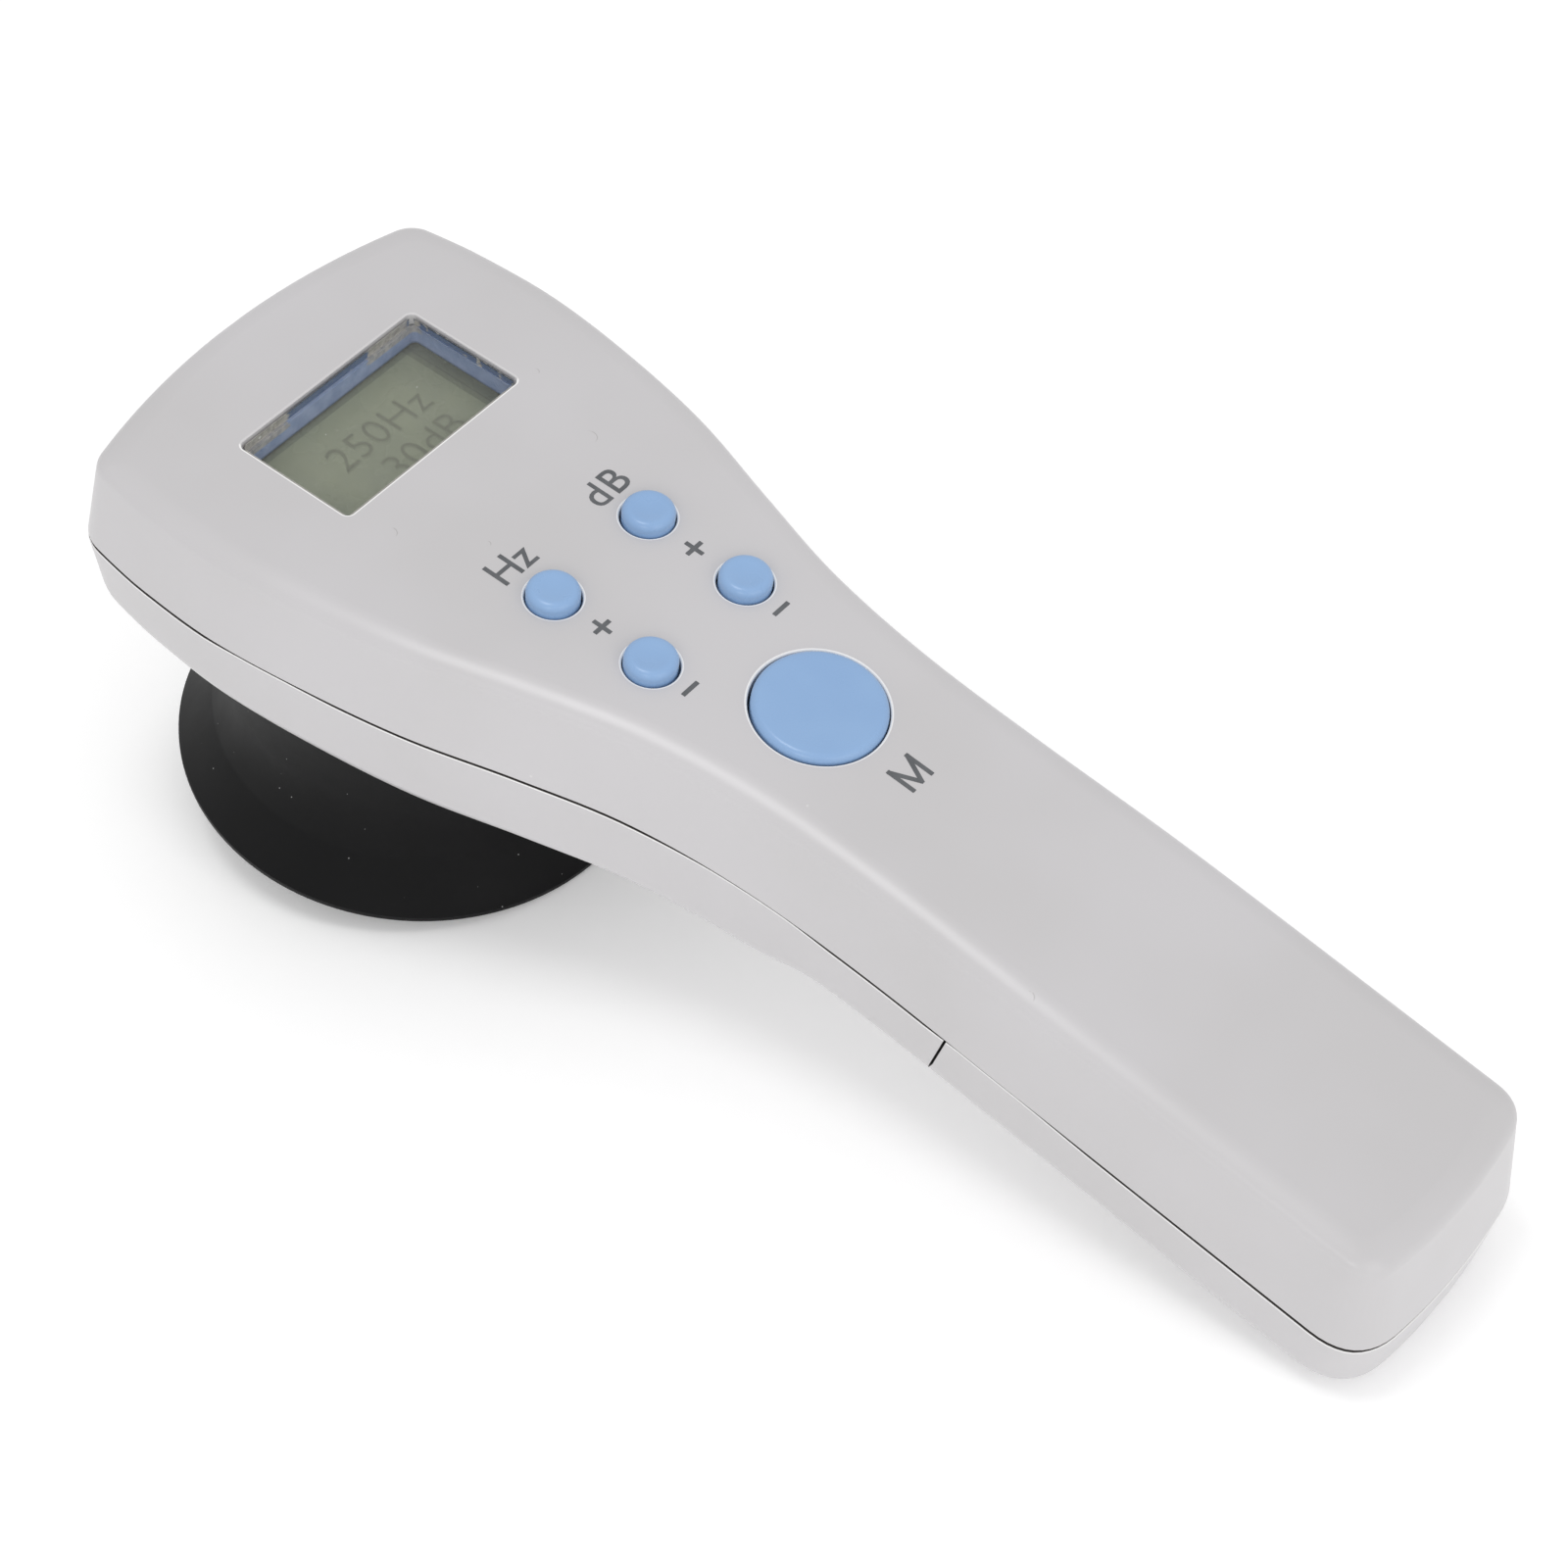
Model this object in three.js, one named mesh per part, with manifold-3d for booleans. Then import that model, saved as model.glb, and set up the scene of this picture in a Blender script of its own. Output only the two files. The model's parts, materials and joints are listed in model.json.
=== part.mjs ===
// A handheld audiometer. It has a flat head with a display and five push buttons, a slim grip that
// holds two cells, and a round ear cushion under the head. All lengths are in millimetres.
// It is built with the head's top face level, the measure button over x = y = 0 and +X towards the
// grip's end. The finished group is then tilted, so that it stands on the cushion's rim and the
// end of the grip, with the middle of its box over the origin.

import * as THREE from "three";
import { mergeVertices } from "three/addons/utils/BufferGeometryUtils.js";
import Module from "manifold-3d";

const wasm = await Module();
wasm.setup();

// Casing, seen from above
const frontToMeasure = 111.6; // front edge to the centre of the measure button
const headSideRoom = 5.55; // from the earphone's retainer to the casing's side wall
const frontCornerInset = 2.55; // of the front corners, from the head's full width
const frontBow = 5.1; // how far the front edge curves back at its corners
const endBow = 2;
const frontCornerCut = 7.5;
const endCornerCut = 7.5;
// How fast the corners get tighter with the inset of a level, in the upper and the lower shell
const upperCornerTaper = 1.5;
const lowerCornerTaper = 0.15;
// Each row: share of the length from the front, share of the way from grip width to head width
const sideShares = [
  [0.028, 0.852],
  [0.052, 0.913],
  [0.089, 0.975],
  [0.152, 1],
  [0.224, 0.897],
  [0.297, 0.714],
  [0.369, 0.425],
  [0.441, 0.161],
  [0.523, 0.015],
  [0.613, -0.02],
  [0.731, 0],
  [1, 0],
];

// Casing, seen from the side
const flatLength = 40.2; // level part of the head's top face
const bendLength = 134.6; // over this length the top bends down into the grip
const gripSlopeDegrees = 8.7;
const headDepth = 29; // top to bottom at the front edge
const headPitchDegrees = 3.4; // between the head's top and bottom faces
const gripThickness = 30.1;
const frontWallHeight = 15.3; // upper shell at the front
const gripWallHeight = 16.5; // upper shell along the straight part of the grip
const heelFromMeasure = 4; // where the head's bottom face starts to step up into the grip
const heelLength = 14;
const wall = 2;
const topRound = 2.4;
const bottomRound = 5;
const upperDraft = 1.8;
const lowerDraft = 1;
const seamGap = 0.3;
const seamLip = 0.7;
const seamLipHeight = 1.5;
const coverFromMeasure = 39.3; // battery cover's front edge at the seam
const coverLeanDegrees = 15.5;
const coverGap = 0.4;

// General clearances
const restGap = 0.3; // between pieces that rest on each other
const slideGap = 0.25; // round a moving button
const overrun = 2; // how far a cutter passes the surface that it cuts

// Display
const windowFromFront = 31.45;
const windowLength = 21;
const windowWidth = 36.4;
const windowCorner = 1.5;
const paneThickness = 1.4;
const paneDepth = 0.5; // pane's face under the head's top face
const gasketHeight = 2.4;
const gasketRim = 3;
const glassMargin = 2;
const glassThickness = 2.2;
const holderRim = 1.7;
const holderLedge = 2.4;
const stripThickness = 2;
const stripEndGap = 1.35; // from a strip's end to the end of the holder's well

// Circuit board
const boardDepth = 12.5; // board's top under the head's top face
const boardThickness = 1.6;
const boardInset = 4.5; // inside the casing's outline
const boardFromFront = 12.6;
const boardEndFromMeasure = 9;
const controllerFromFront = 57.6;
const amplifierFromEarConnector = 14;
const chipSize = 9;
const chipHeight = 1.6;
const connectorLength = 6;
const connectorWidth = 9;
const connectorHeight = 4;
const earConnectorFromEarphone = 5; // from the side of the earphone
const batteryConnectorFromMeasure = 5;

// Push buttons and their switches
const keyDiameter = 7.7;
const keyProud = 1.4;
const keyEdge = 0.9;
const keyDish = 0.3;
const dishMidShare = 0.75; // of a dish's depth, halfway out from its middle
const keyStemDiameter = 4;
const plusFromMeasure = 38.9;
const minusFromMeasure = 21.3;
const keyRowSpacing = 20.3;
const measureDiameter = 19.2;
const measureProud = 0.9;
const measureEdge = 1.1;
const measureDish = 0.1;
const measureStemDiameter = 6;
const flangeWidth = 1.3;
const flangeHeight = 1;
const keyTravel = 0.8;
const switchSize = 6;
const switchHeight = 3.2;
const switchFloor = 0.7;
const plungerDiameter = 3.3;
const plungerProud = 0.8;

// Earphone and ear cushion, along an axis square to the head's bottom face
const earFromFront = 39.6;
const cushionHeight = 33.8;
const neckDiameter = 61.6;
const neckShoulder = 1.2;
const waistDiameter = 59.8;
const waistFromRim = 19; // waist above the rim's face
const skirtDiameter = 63; // where the neck runs into the skirt
const skirtHeight = 8.3; // from the rim's face up to the neck
const rimDiameter = 72.9;
const rimHeight = 1.3;
const rimEdge = 0.6;
const rimFaceWidth = 4.4;
const driverDiameter = 50;
const driverHeight = 17;
const driverEdge = 1.5;
const magnetFromSide = 11; // from the driver's side to its magnet
const magnetHeight = 7;
const screenDiameter = 40;
const screenThickness = 0.8;
const soundHoleDiameter = 30;
const soundHoleDepth = 8;
const mouthPower = 1.5; // 1 makes the mouth a plain cone, more makes it curve
const spigotHeight = 6;
const spigotWall = 2;
const retainerWidth = 8;
const retainerHeight = 2;

// Cells, contacts and tray in the grip
const cellDiameter = 14.2;
const cellLength = 50.5;
const cellEdge = 0.6;
const nubDiameter = 5.5;
const nubHeight = 1.3;
const cellSpacing = 15;
const cellFloorGap = 0.6; // from the cells down to the cover
const springLength = 5.5;
const springWideDiameter = 9;
const springNarrowDiameter = 5;
const springWire = 0.8;
const plateThickness = 0.5;
const plateWidth = 11;
const plateDepth = 8;
const plateTab = 1.5; // stands up over the tray's floor
const plateTabWidth = 4;
const trayFromCover = 4.2; // tray's front face, from the cover's front edge
const trayFromEnd = 5.4; // tray's end, from the outside of the grip's end
const trayWall = 1.5;
const trayDepth = 8.8; // its side walls reach this far down from its floor
const trayTab = 8;
const trayTabWidth = 8;
const trayRearScrew = 12; // from the tray's end
const railReach = 0.8;
const railHeight = 1;
const railOverlap = 0.4;
const railSideGap = 0.45; // from the tray's rails to the cover's side walls
const leadDiameter = 1.4;
const leadSpacing = 3;
const leadBendRun = 9; // a lead's straight run before its plug
const leadInRetainer = 3.5; // from the retainer's inside to where the leads join the earphone

// Screws and bosses
const screwRecess = 5;
const housingScrewDiameter = 2.4;
const housingScrewHead = 5;
const housingScrewLength = 14;
const housingBossDiameter = 7;
const smallScrewDiameter = 1.9;
const smallScrewHead = 4.2;
const smallScrewLength = 6;
const smallBossDiameter = 5.4;
const screwHeadHeight = 1.3;
const screwSocketDepth = 0.8;
const headBossFromFront = 12;
const headBossInset = 7.4; // each inset is from the casing's side to the boss's axis
const gripBossFromMeasure = 16;
const gripBossInset = 7.9;
const frontBoardBossFromFront = 53.6;
const frontBoardBossInset = 9.4;
const rearBoardBossFromMeasure = 12;
const rearBoardBossInset = 6.5;
const boardNotchGap = 1.2; // round each housing boss

// Counts
const cornerSteps = 4;
const sideSteps = 20;
const roundSteps = 3;
const innerRoundSteps = 2;
const edgeSteps = 3;
const keySides = 20;
const measureSides = 32;
const earSides = 40;
const cellSides = 20;
const smallSides = 10;
const leadSides = 6;
const leadSteps = 10;
const wireSides = 5;
const springTurns = 3.5;
const stepsPerTurn = 8;

const toRadians = THREE.MathUtils.degToRad;
const { lerp, clamp, smoothstep } = THREE.MathUtils;
const bothSides = [-1, 1];

// Widths follow from what the casing holds: the earphone in the head, the tray in the grip.
const magnetDiameter = driverDiameter - 2 * magnetFromSide;
const retainerDiameter = driverDiameter + retainerWidth;
const headWidth = retainerDiameter + 2 * (headSideRoom + wall + lowerDraft + restGap);
const trayHalfWidth = (cellSpacing + cellDiameter) / 2 + restGap + trayWall;
const gripWidth = 2 * (trayHalfWidth + railReach + railSideGap + wall + lowerDraft);

const frontX = -frontToMeasure;
const windowX = frontX + windowFromFront;
const earX = frontX + earFromFront;
const earConnectorX = earX + driverDiameter / 2 + earConnectorFromEarphone;
const leadFromEarAxis = (driverDiameter - retainerWidth) / 2 - leadInRetainer;
const bendStartX = frontX + flatLength;
const bendEndX = bendStartX + bendLength;

// Places along the grip's own axes: x runs along its top face from the end of the bend, and z
// is square to it. The length of the grip follows from the cells.
const gripSlope = toRadians(gripSlopeDegrees);
const cellRows = bothSides.map((side) => (side * cellSpacing) / 2);
const cellZ = wall + cellFloorGap + cellDiameter / 2 - gripThickness;
const trayStart = (coverFromMeasure - bendEndX) / Math.cos(gripSlope) + trayFromCover;
const bayStart = trayStart + trayWall;
const plateStart = bayStart + restGap;
const cellStart = plateStart + plateThickness + restGap;
const cellReach = cellLength + restGap + springLength;
const plateEnd = cellStart + cellReach + restGap + plateThickness;
const bayEnd = plateEnd + restGap;
const trayEnd = bayEnd + trayWall;
const trayFloor = cellZ + cellDiameter / 2 + restGap;
const trayTop = trayFloor + trayWall;
const trayBottom = trayFloor - trayDepth;
const railTop = trayBottom + railHeight;
const trayScrews = [trayStart - trayTab / 2, trayEnd - trayRearScrew];
const endX = bendEndX + (trayEnd + trayFromEnd) * Math.cos(gripSlope);
const bodyLength = endX - frontX;

function finish(color, roughness, metalness = 0) {
  return new THREE.MeshStandardMaterial({ color, roughness, metalness });
}

const shellPlastic = finish(0xcdcbce, 0.55);
const keyPlastic = finish(0x95b4da, 0.45);
const cushionRubber = finish(0x1f1f1f, 0.6);
const gasketFoam = finish(0x4d7fb8, 0.8);
const displayGlass = finish(0x888a7d, 0.2);
const darkPlastic = finish(0x2b2c2e, 0.6);
const paleRubber = finish(0xd9c9b4, 0.8);
const boardLaminate = finish(0x1d6b3c, 0.5);
const plainSteel = finish(0xb9bcc0, 0.3, 1);
const cellJacket = finish(0x6d7178, 0.4);
const redSleeve = finish(0xa02a24, 0.5);
const blackSleeve = finish(0x1b1b1c, 0.5);
const clearPlastic = finish(0xe8ecec, 0.1);
clearPlastic.transparent = true;
clearPlastic.opacity = 0.35;

// Height of the casing's top face. It is level, then bends evenly, then runs straight.
function topZ(x) {
  const bend = clamp((x - bendStartX) / bendLength, 0, 1);
  const straight = Math.max(x - bendEndX, 0);
  return -Math.tan(gripSlope) * ((bendLength * bend * bend) / 2 + straight);
}

// How much the top face drops towards the grip, for each millimetre along x.
function topFall(x) {
  return Math.tan(gripSlope) * clamp((x - bendStartX) / bendLength, 0, 1);
}

function seamZ(x) {
  const along = clamp((x - frontX) / (bendEndX - frontX), 0, 1);
  return topZ(x) - lerp(frontWallHeight, gripWallHeight, along);
}

function bottomZ(x) {
  const head = -headDepth - Math.tan(toRadians(headPitchDegrees)) * (x - frontX);
  const grip = topZ(x) - gripThickness;
  return lerp(head, grip, smoothstep(x, heelFromMeasure, heelFromMeasure + heelLength));
}

// Half width of the casing at its seam, a smooth curve through the points of sideShares.
function halfWidth(x) {
  const points = sideShares.map(([along, across]) => ({
    x: frontX + along * bodyLength,
    y: lerp(gripWidth, headWidth, across) / 2,
  }));
  const last = points.length - 1;
  const slopeAt = (k) => {
    const before = points[Math.max(k - 1, 0)];
    const after = points[Math.min(k + 1, last)];
    return (after.y - before.y) / (after.x - before.x);
  };
  let i = 0;
  while (i < last - 1 && x > points[i + 1].x) i++;
  const span = points[i + 1].x - points[i].x;
  const t = (x - points[i].x) / span;
  const straight = lerp(points[i].y, points[i + 1].y, t * t * (3 - 2 * t));
  const leaving = slopeAt(i) * span * t * (1 - t) * (1 - t);
  const arriving = slopeAt(i + 1) * span * t * t * (1 - t);
  return straight + leaving - arriving;
}

// Half of the casing's outline, from the middle of the front to the middle of the end.
function halfOutline(inset, cornerTaper) {
  const frontCut = frontCornerCut - cornerTaper * inset;
  const endCut = endCornerCut - cornerTaper * inset;
  const front = frontX + inset;
  const end = endX - inset;
  const frontY = headWidth / 2 - frontCornerInset - inset;
  const endY = gripWidth / 2 - inset;
  const frontShare = 1 - frontCut / frontY;
  const endShare = 1 - endCut / endY;
  const sideStart = front + frontBow + frontCut;
  const sideEnd = end - endBow - endCut;
  const path = new THREE.Path();
  path.moveTo(front, 0);
  const bowX = front + frontBow * frontShare * frontShare;
  path.quadraticCurveTo(front, (frontY - frontCut) / 2, bowX, frontY - frontCut);
  path.quadraticCurveTo(front + frontBow, frontY, sideStart, halfWidth(sideStart) - inset);
  for (let i = 1; i <= sideSteps; i++) {
    const x = lerp(sideStart, sideEnd, i / sideSteps);
    path.lineTo(x, halfWidth(x) - inset);
  }
  const endBowX = end - endBow * endShare * endShare;
  path.quadraticCurveTo(end - endBow, endY, endBowX, endY - endCut);
  path.quadraticCurveTo(end, (endY - endCut) / 2, end, 0);
  return path.getPoints(cornerSteps);
}

// A closed body through outlines at rising levels. Each level has an inset and a height by x.
function loft(cornerTaper, levels) {
  const loops = levels.map(({ inset, height }) => {
    const half = halfOutline(inset, cornerTaper);
    const near = half.map(({ x, y }) => [x, -y, height(x)]);
    const far = half.slice(1, -1).map(({ x, y }) => [x, y, height(x)]);
    return [...near, ...far.reverse()];
  });
  const count = loops[0].length;
  const index = [];
  for (let level = 0; level < loops.length - 1; level++) {
    for (let i = 0; i < count; i++) {
      const a = level * count + i;
      const b = level * count + ((i + 1) % count);
      index.push(a, b, b + count, a, b + count, a + count);
    }
  }
  const top = (loops.length - 1) * count;
  for (let i = 0; i < count / 2; i++) {
    const far = (count - i) % count;
    const farNext = count - i - 1;
    if (far !== i) {
      index.push(i, far, farNext, top + i, top + farNext, top + far);
    }
    if (farNext !== i + 1) {
      index.push(i, farNext, i + 1, top + i, top + i + 1, top + farNext);
    }
  }
  const geometry = new THREE.BufferGeometry();
  geometry.setAttribute("position", new THREE.Float32BufferAttribute(loops.flat(2), 3));
  geometry.setIndex(index);
  return geometry;
}

// Levels of a rounded edge, rising from a wall to the face above it.
function roundedTop(inset, radius, steps, face) {
  return Array.from({ length: steps + 1 }, (_, i) => {
    const angle = ((i / steps) * Math.PI) / 2;
    return {
      inset: inset + radius * (1 - Math.cos(angle)),
      height: (x) => face(x) - radius * (1 - Math.sin(angle)),
    };
  });
}

// Levels of a rounded edge, rising from a face to the wall above it.
function roundedBottom(inset, radius, steps, face) {
  const mirrored = roundedTop(inset, radius, steps, (x) => -face(x)).reverse();
  return mirrored.map((level) => ({ inset: level.inset, height: (x) => -level.height(x) }));
}

function solidOf(geometry) {
  const bare = geometry.clone();
  bare.deleteAttribute("normal");
  bare.deleteAttribute("uv");
  const merged = mergeVertices(bare);
  const mesh = new wasm.Mesh({
    numProp: 3,
    vertProperties: merged.attributes.position.array,
    triVerts: new Uint32Array(merged.index.array),
  });
  return new wasm.Manifold(mesh);
}

// Keeps what lies in every geometry of keep, joins those of add, then cuts those of cut away.
function shape(first, { keep = [], add = [], cut = [] }) {
  let solid = solidOf(first);
  for (const geometry of keep) solid = solid.intersect(solidOf(geometry));
  for (const geometry of add) solid = solid.add(solidOf(geometry));
  for (const geometry of cut) solid = solid.subtract(solidOf(geometry));
  const mesh = solid.getMesh();
  const geometry = new THREE.BufferGeometry();
  geometry.setAttribute("position", new THREE.BufferAttribute(mesh.vertProperties, 3));
  geometry.setIndex(new THREE.BufferAttribute(mesh.triVerts, 1));
  return geometry;
}

function post(x, y, diameter, low, high, sides = smallSides) {
  const geometry = new THREE.CylinderGeometry(diameter / 2, diameter / 2, high - low, sides);
  return geometry.rotateX(Math.PI / 2).translate(x, y, (low + high) / 2);
}

function block([lowX, lowY, lowZ], [highX, highY, highZ]) {
  const geometry = new THREE.BoxGeometry(highX - lowX, highY - lowY, highZ - lowZ);
  return geometry.translate((lowX + highX) / 2, (lowY + highY) / 2, (lowZ + highZ) / 2);
}

// An upright block that is centred on y = 0.
function slab(x, length, width, low, high) {
  return block([x - length / 2, -width / 2, low], [x + length / 2, width / 2, high]);
}

function roundedSlab(x, length, width, corner, low, high) {
  const a = length / 2;
  const b = width / 2;
  const outline = new THREE.Shape();
  outline.moveTo(a - corner, -b);
  outline.quadraticCurveTo(a, -b, a, corner - b);
  outline.lineTo(a, b - corner);
  outline.quadraticCurveTo(a, b, a - corner, b);
  outline.lineTo(corner - a, b);
  outline.quadraticCurveTo(-a, b, -a, b - corner);
  outline.lineTo(-a, corner - b);
  outline.quadraticCurveTo(-a, -b, corner - a, -b);
  const settings = { depth: high - low, bevelEnabled: false, curveSegments: edgeSteps };
  return new THREE.ExtrudeGeometry(outline, settings).translate(x, 0, low);
}

// A round body about the Z axis. Its [radius, height] points run upwards on the outside.
function turned(points, sides) {
  const profile = points.map(([radius, height]) => new THREE.Vector2(radius, height));
  return new THREE.LatheGeometry(profile, sides).rotateX(Math.PI / 2);
}

// A round tube along a curve.
function tube(curve, diameter, sides, steps) {
  const section = new THREE.Shape();
  for (let i = 0; i < sides; i++) {
    const angle = (2 * Math.PI * i) / sides;
    const point = [(diameter / 2) * Math.cos(angle), (diameter / 2) * Math.sin(angle)];
    if (i === 0) section.moveTo(...point);
    else section.lineTo(...point);
  }
  return new THREE.ExtrudeGeometry(section, { steps, extrudePath: curve });
}

const device = new THREE.Group();

const grip = new THREE.Group();
grip.position.set(bendEndX, 0, topZ(bendEndX));
grip.rotation.y = gripSlope;
grip.updateMatrix();
device.add(grip);

// The earphone's own axes: z square to the head's bottom face, and zero on that face.
const ear = new THREE.Group();
ear.position.set(earX, 0, bottomZ(earX));
ear.rotation.y = toRadians(headPitchDegrees);
ear.updateMatrix();
device.add(ear);

function place(name, geometry, material, group = device) {
  const mesh = new THREE.Mesh(geometry, material.clone());
  mesh.name = name;
  group.add(mesh);
}

const inGrip = (geometry) => geometry.applyMatrix4(grip.matrix);
const inEar = (geometry) => geometry.applyMatrix4(ear.matrix);

const boardTop = -boardDepth;
const boardUnderside = boardTop - boardThickness;
const pairAt = (x, inset) => bothSides.map((side) => [x, side * (halfWidth(x) - inset)]);
const housingBosses = [
  ...pairAt(frontX + headBossFromFront, headBossInset),
  ...pairAt(gripBossFromMeasure, gripBossInset),
];
const boardBosses = [
  ...pairAt(frontX + frontBoardBossFromFront, frontBoardBossInset),
  ...pairAt(-rearBoardBossFromMeasure, rearBoardBossInset),
];
const keys = [
  { name: "hz_plus", x: -plusFromMeasure, y: -keyRowSpacing / 2 },
  { name: "hz_minus", x: -minusFromMeasure, y: -keyRowSpacing / 2 },
  { name: "db_plus", x: -plusFromMeasure, y: keyRowSpacing / 2 },
  { name: "db_minus", x: -minusFromMeasure, y: keyRowSpacing / 2 },
];

const housingScrewHole = housingScrewDiameter + 2 * restGap;
const smallScrewHole = smallScrewDiameter + 2 * restGap;
const screwSeat = (x) => bottomZ(x) + screwRecess;

// Everything on the grip's side of the battery cover's slanted front edge, moved by an offset.
function gripSide(offset) {
  const side = new THREE.BoxGeometry(bodyLength, bodyLength, bodyLength);
  side.translate(bodyLength / 2 + offset, 0, 0).rotateY(toRadians(coverLeanDegrees));
  return side.translate(coverFromMeasure, 0, seamZ(coverFromMeasure));
}

function makeFrontHousing() {
  const outer = loft(upperCornerTaper, [
    { inset: 0, height: seamZ },
    ...roundedTop(upperDraft, topRound, roundSteps, topZ),
  ]);
  const ceiling = (x) => topZ(x) - wall;
  const inner = loft(upperCornerTaper, [
    { inset: wall, height: (x) => seamZ(x) - overrun },
    ...roundedTop(upperDraft + wall, topRound - wall, innerRoundSteps, ceiling),
  ]);
  const rebateInset = wall - seamLip - restGap;
  const rebateWhole = loft(upperCornerTaper, [
    { inset: rebateInset, height: (x) => seamZ(x) - overrun },
    { inset: rebateInset, height: (x) => seamZ(x) + seamLipHeight + restGap },
  ]);
  const rebate = shape(rebateWhole, { cut: [gripSide(0)] });
  const housingPosts = housingBosses.map(([x, y]) =>
    post(x, y, housingBossDiameter, seamZ(x) - overrun, topZ(x) + overrun),
  );
  const boardPosts = boardBosses.map(([x, y]) =>
    post(x, y, smallBossDiameter, boardTop + restGap, topZ(x) + overrun),
  );
  const trayPosts = trayScrews.map((x) =>
    inGrip(post(x, 0, smallBossDiameter, trayTop + restGap, overrun)),
  );
  const housingPilots = housingBosses.map(([x, y]) => {
    const tip = screwSeat(x) + housingScrewLength + restGap;
    return post(x, y, housingScrewHole, seamZ(x) - overrun, tip);
  });
  const boardPilots = boardBosses.map(([x, y]) => {
    const tip = boardUnderside + smallScrewLength + restGap;
    return post(x, y, smallScrewHole, boardTop - overrun, tip);
  });
  const trayPilots = trayScrews.map((x) => {
    const tip = trayFloor + smallScrewLength + restGap;
    return inGrip(post(x, 0, smallScrewHole, trayTop - overrun, tip));
  });
  const keyHoles = keys.map(({ x, y }) => {
    const hole = keyDiameter + 2 * slideGap;
    return post(x, y, hole, topZ(x) - wall - overrun, topZ(x) + overrun, keySides);
  });
  const measureHole = post(
    0,
    0,
    measureDiameter + 2 * slideGap,
    topZ(0) - wall - overrun,
    topZ(0) + overrun,
    measureSides,
  );
  const window = roundedSlab(
    windowX,
    windowLength,
    windowWidth,
    windowCorner,
    -wall - overrun,
    overrun,
  );
  const shell = shape(outer, { cut: [inner, rebate] });
  const withPosts = shape(shell, { add: [...housingPosts, ...boardPosts, ...trayPosts] });
  return shape(withPosts, {
    keep: [outer],
    cut: [
      ...housingPilots,
      ...boardPilots,
      ...trayPilots,
      ...keyHoles,
      measureHole,
      window,
    ],
  });
}

function lowerOuter() {
  return loft(lowerCornerTaper, [
    ...roundedBottom(lowerDraft, bottomRound, roundSteps, bottomZ),
    { inset: 0, height: (x) => seamZ(x) - seamGap },
  ]);
}

function lowerInner() {
  const floor = (x) => bottomZ(x) + wall;
  return loft(lowerCornerTaper, [
    ...roundedBottom(lowerDraft + wall, bottomRound - wall, innerRoundSteps, floor),
    { inset: wall, height: (x) => seamZ(x) + overrun },
  ]);
}

function makeRearHousing() {
  const lip = loft(upperCornerTaper, [
    { inset: wall - seamLip, height: (x) => seamZ(x) - wall },
    { inset: wall - seamLip, height: (x) => seamZ(x) + seamLipHeight },
  ]);
  const shell = shape(lowerOuter(), { add: [lip], cut: [lowerInner()] });
  const bulkhead = shape(lowerOuter(), { keep: [gripSide(-coverGap / 2 - wall)] });
  const earHole = driverDiameter + 2 * restGap;
  const spigot = post(0, 0, earHole + 2 * spigotWall, -spigotHeight, wall / 2, earSides);
  const bore = post(0, 0, earHole, -spigotHeight - overrun, wall + overrun, earSides);
  const posts = housingBosses.map(([x, y]) => {
    const whole = post(x, y, housingBossDiameter, bottomZ(x) - overrun, seamZ(x));
    return shape(whole, { keep: [lowerOuter()] });
  });
  const shanks = housingBosses.map(([x, y]) =>
    post(x, y, housingScrewHole, bottomZ(x) - overrun, seamZ(x) + overrun),
  );
  const recesses = housingBosses.map(([x, y]) =>
    post(x, y, housingScrewHead + 2 * restGap, bottomZ(x) - overrun, screwSeat(x)),
  );
  return shape(shell, {
    add: [bulkhead, inEar(spigot), ...posts],
    cut: [gripSide(-coverGap / 2), inEar(bore), ...shanks, ...recesses],
  });
}

function makeBatteryCover() {
  const shell = shape(lowerOuter(), { keep: [gripSide(coverGap / 2)], cut: [lowerInner()] });
  const low = railTop + restGap;
  const inside = trayHalfWidth + railReach - railOverlap;
  const root = gripWidth / 2 - wall / 2 - lowerDraft / 2;
  const rails = bothSides.map((side) => {
    const near = Math.min(side * inside, side * root);
    const far = Math.max(side * inside, side * root);
    return inGrip(block([trayStart, near, low], [trayEnd, far, low + railHeight]));
  });
  return shape(shell, { add: rails });
}

place("front_housing", makeFrontHousing(), shellPlastic);
place("rear_housing", makeRearHousing(), shellPlastic);
place("battery_cover", makeBatteryCover(), shellPlastic);

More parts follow.
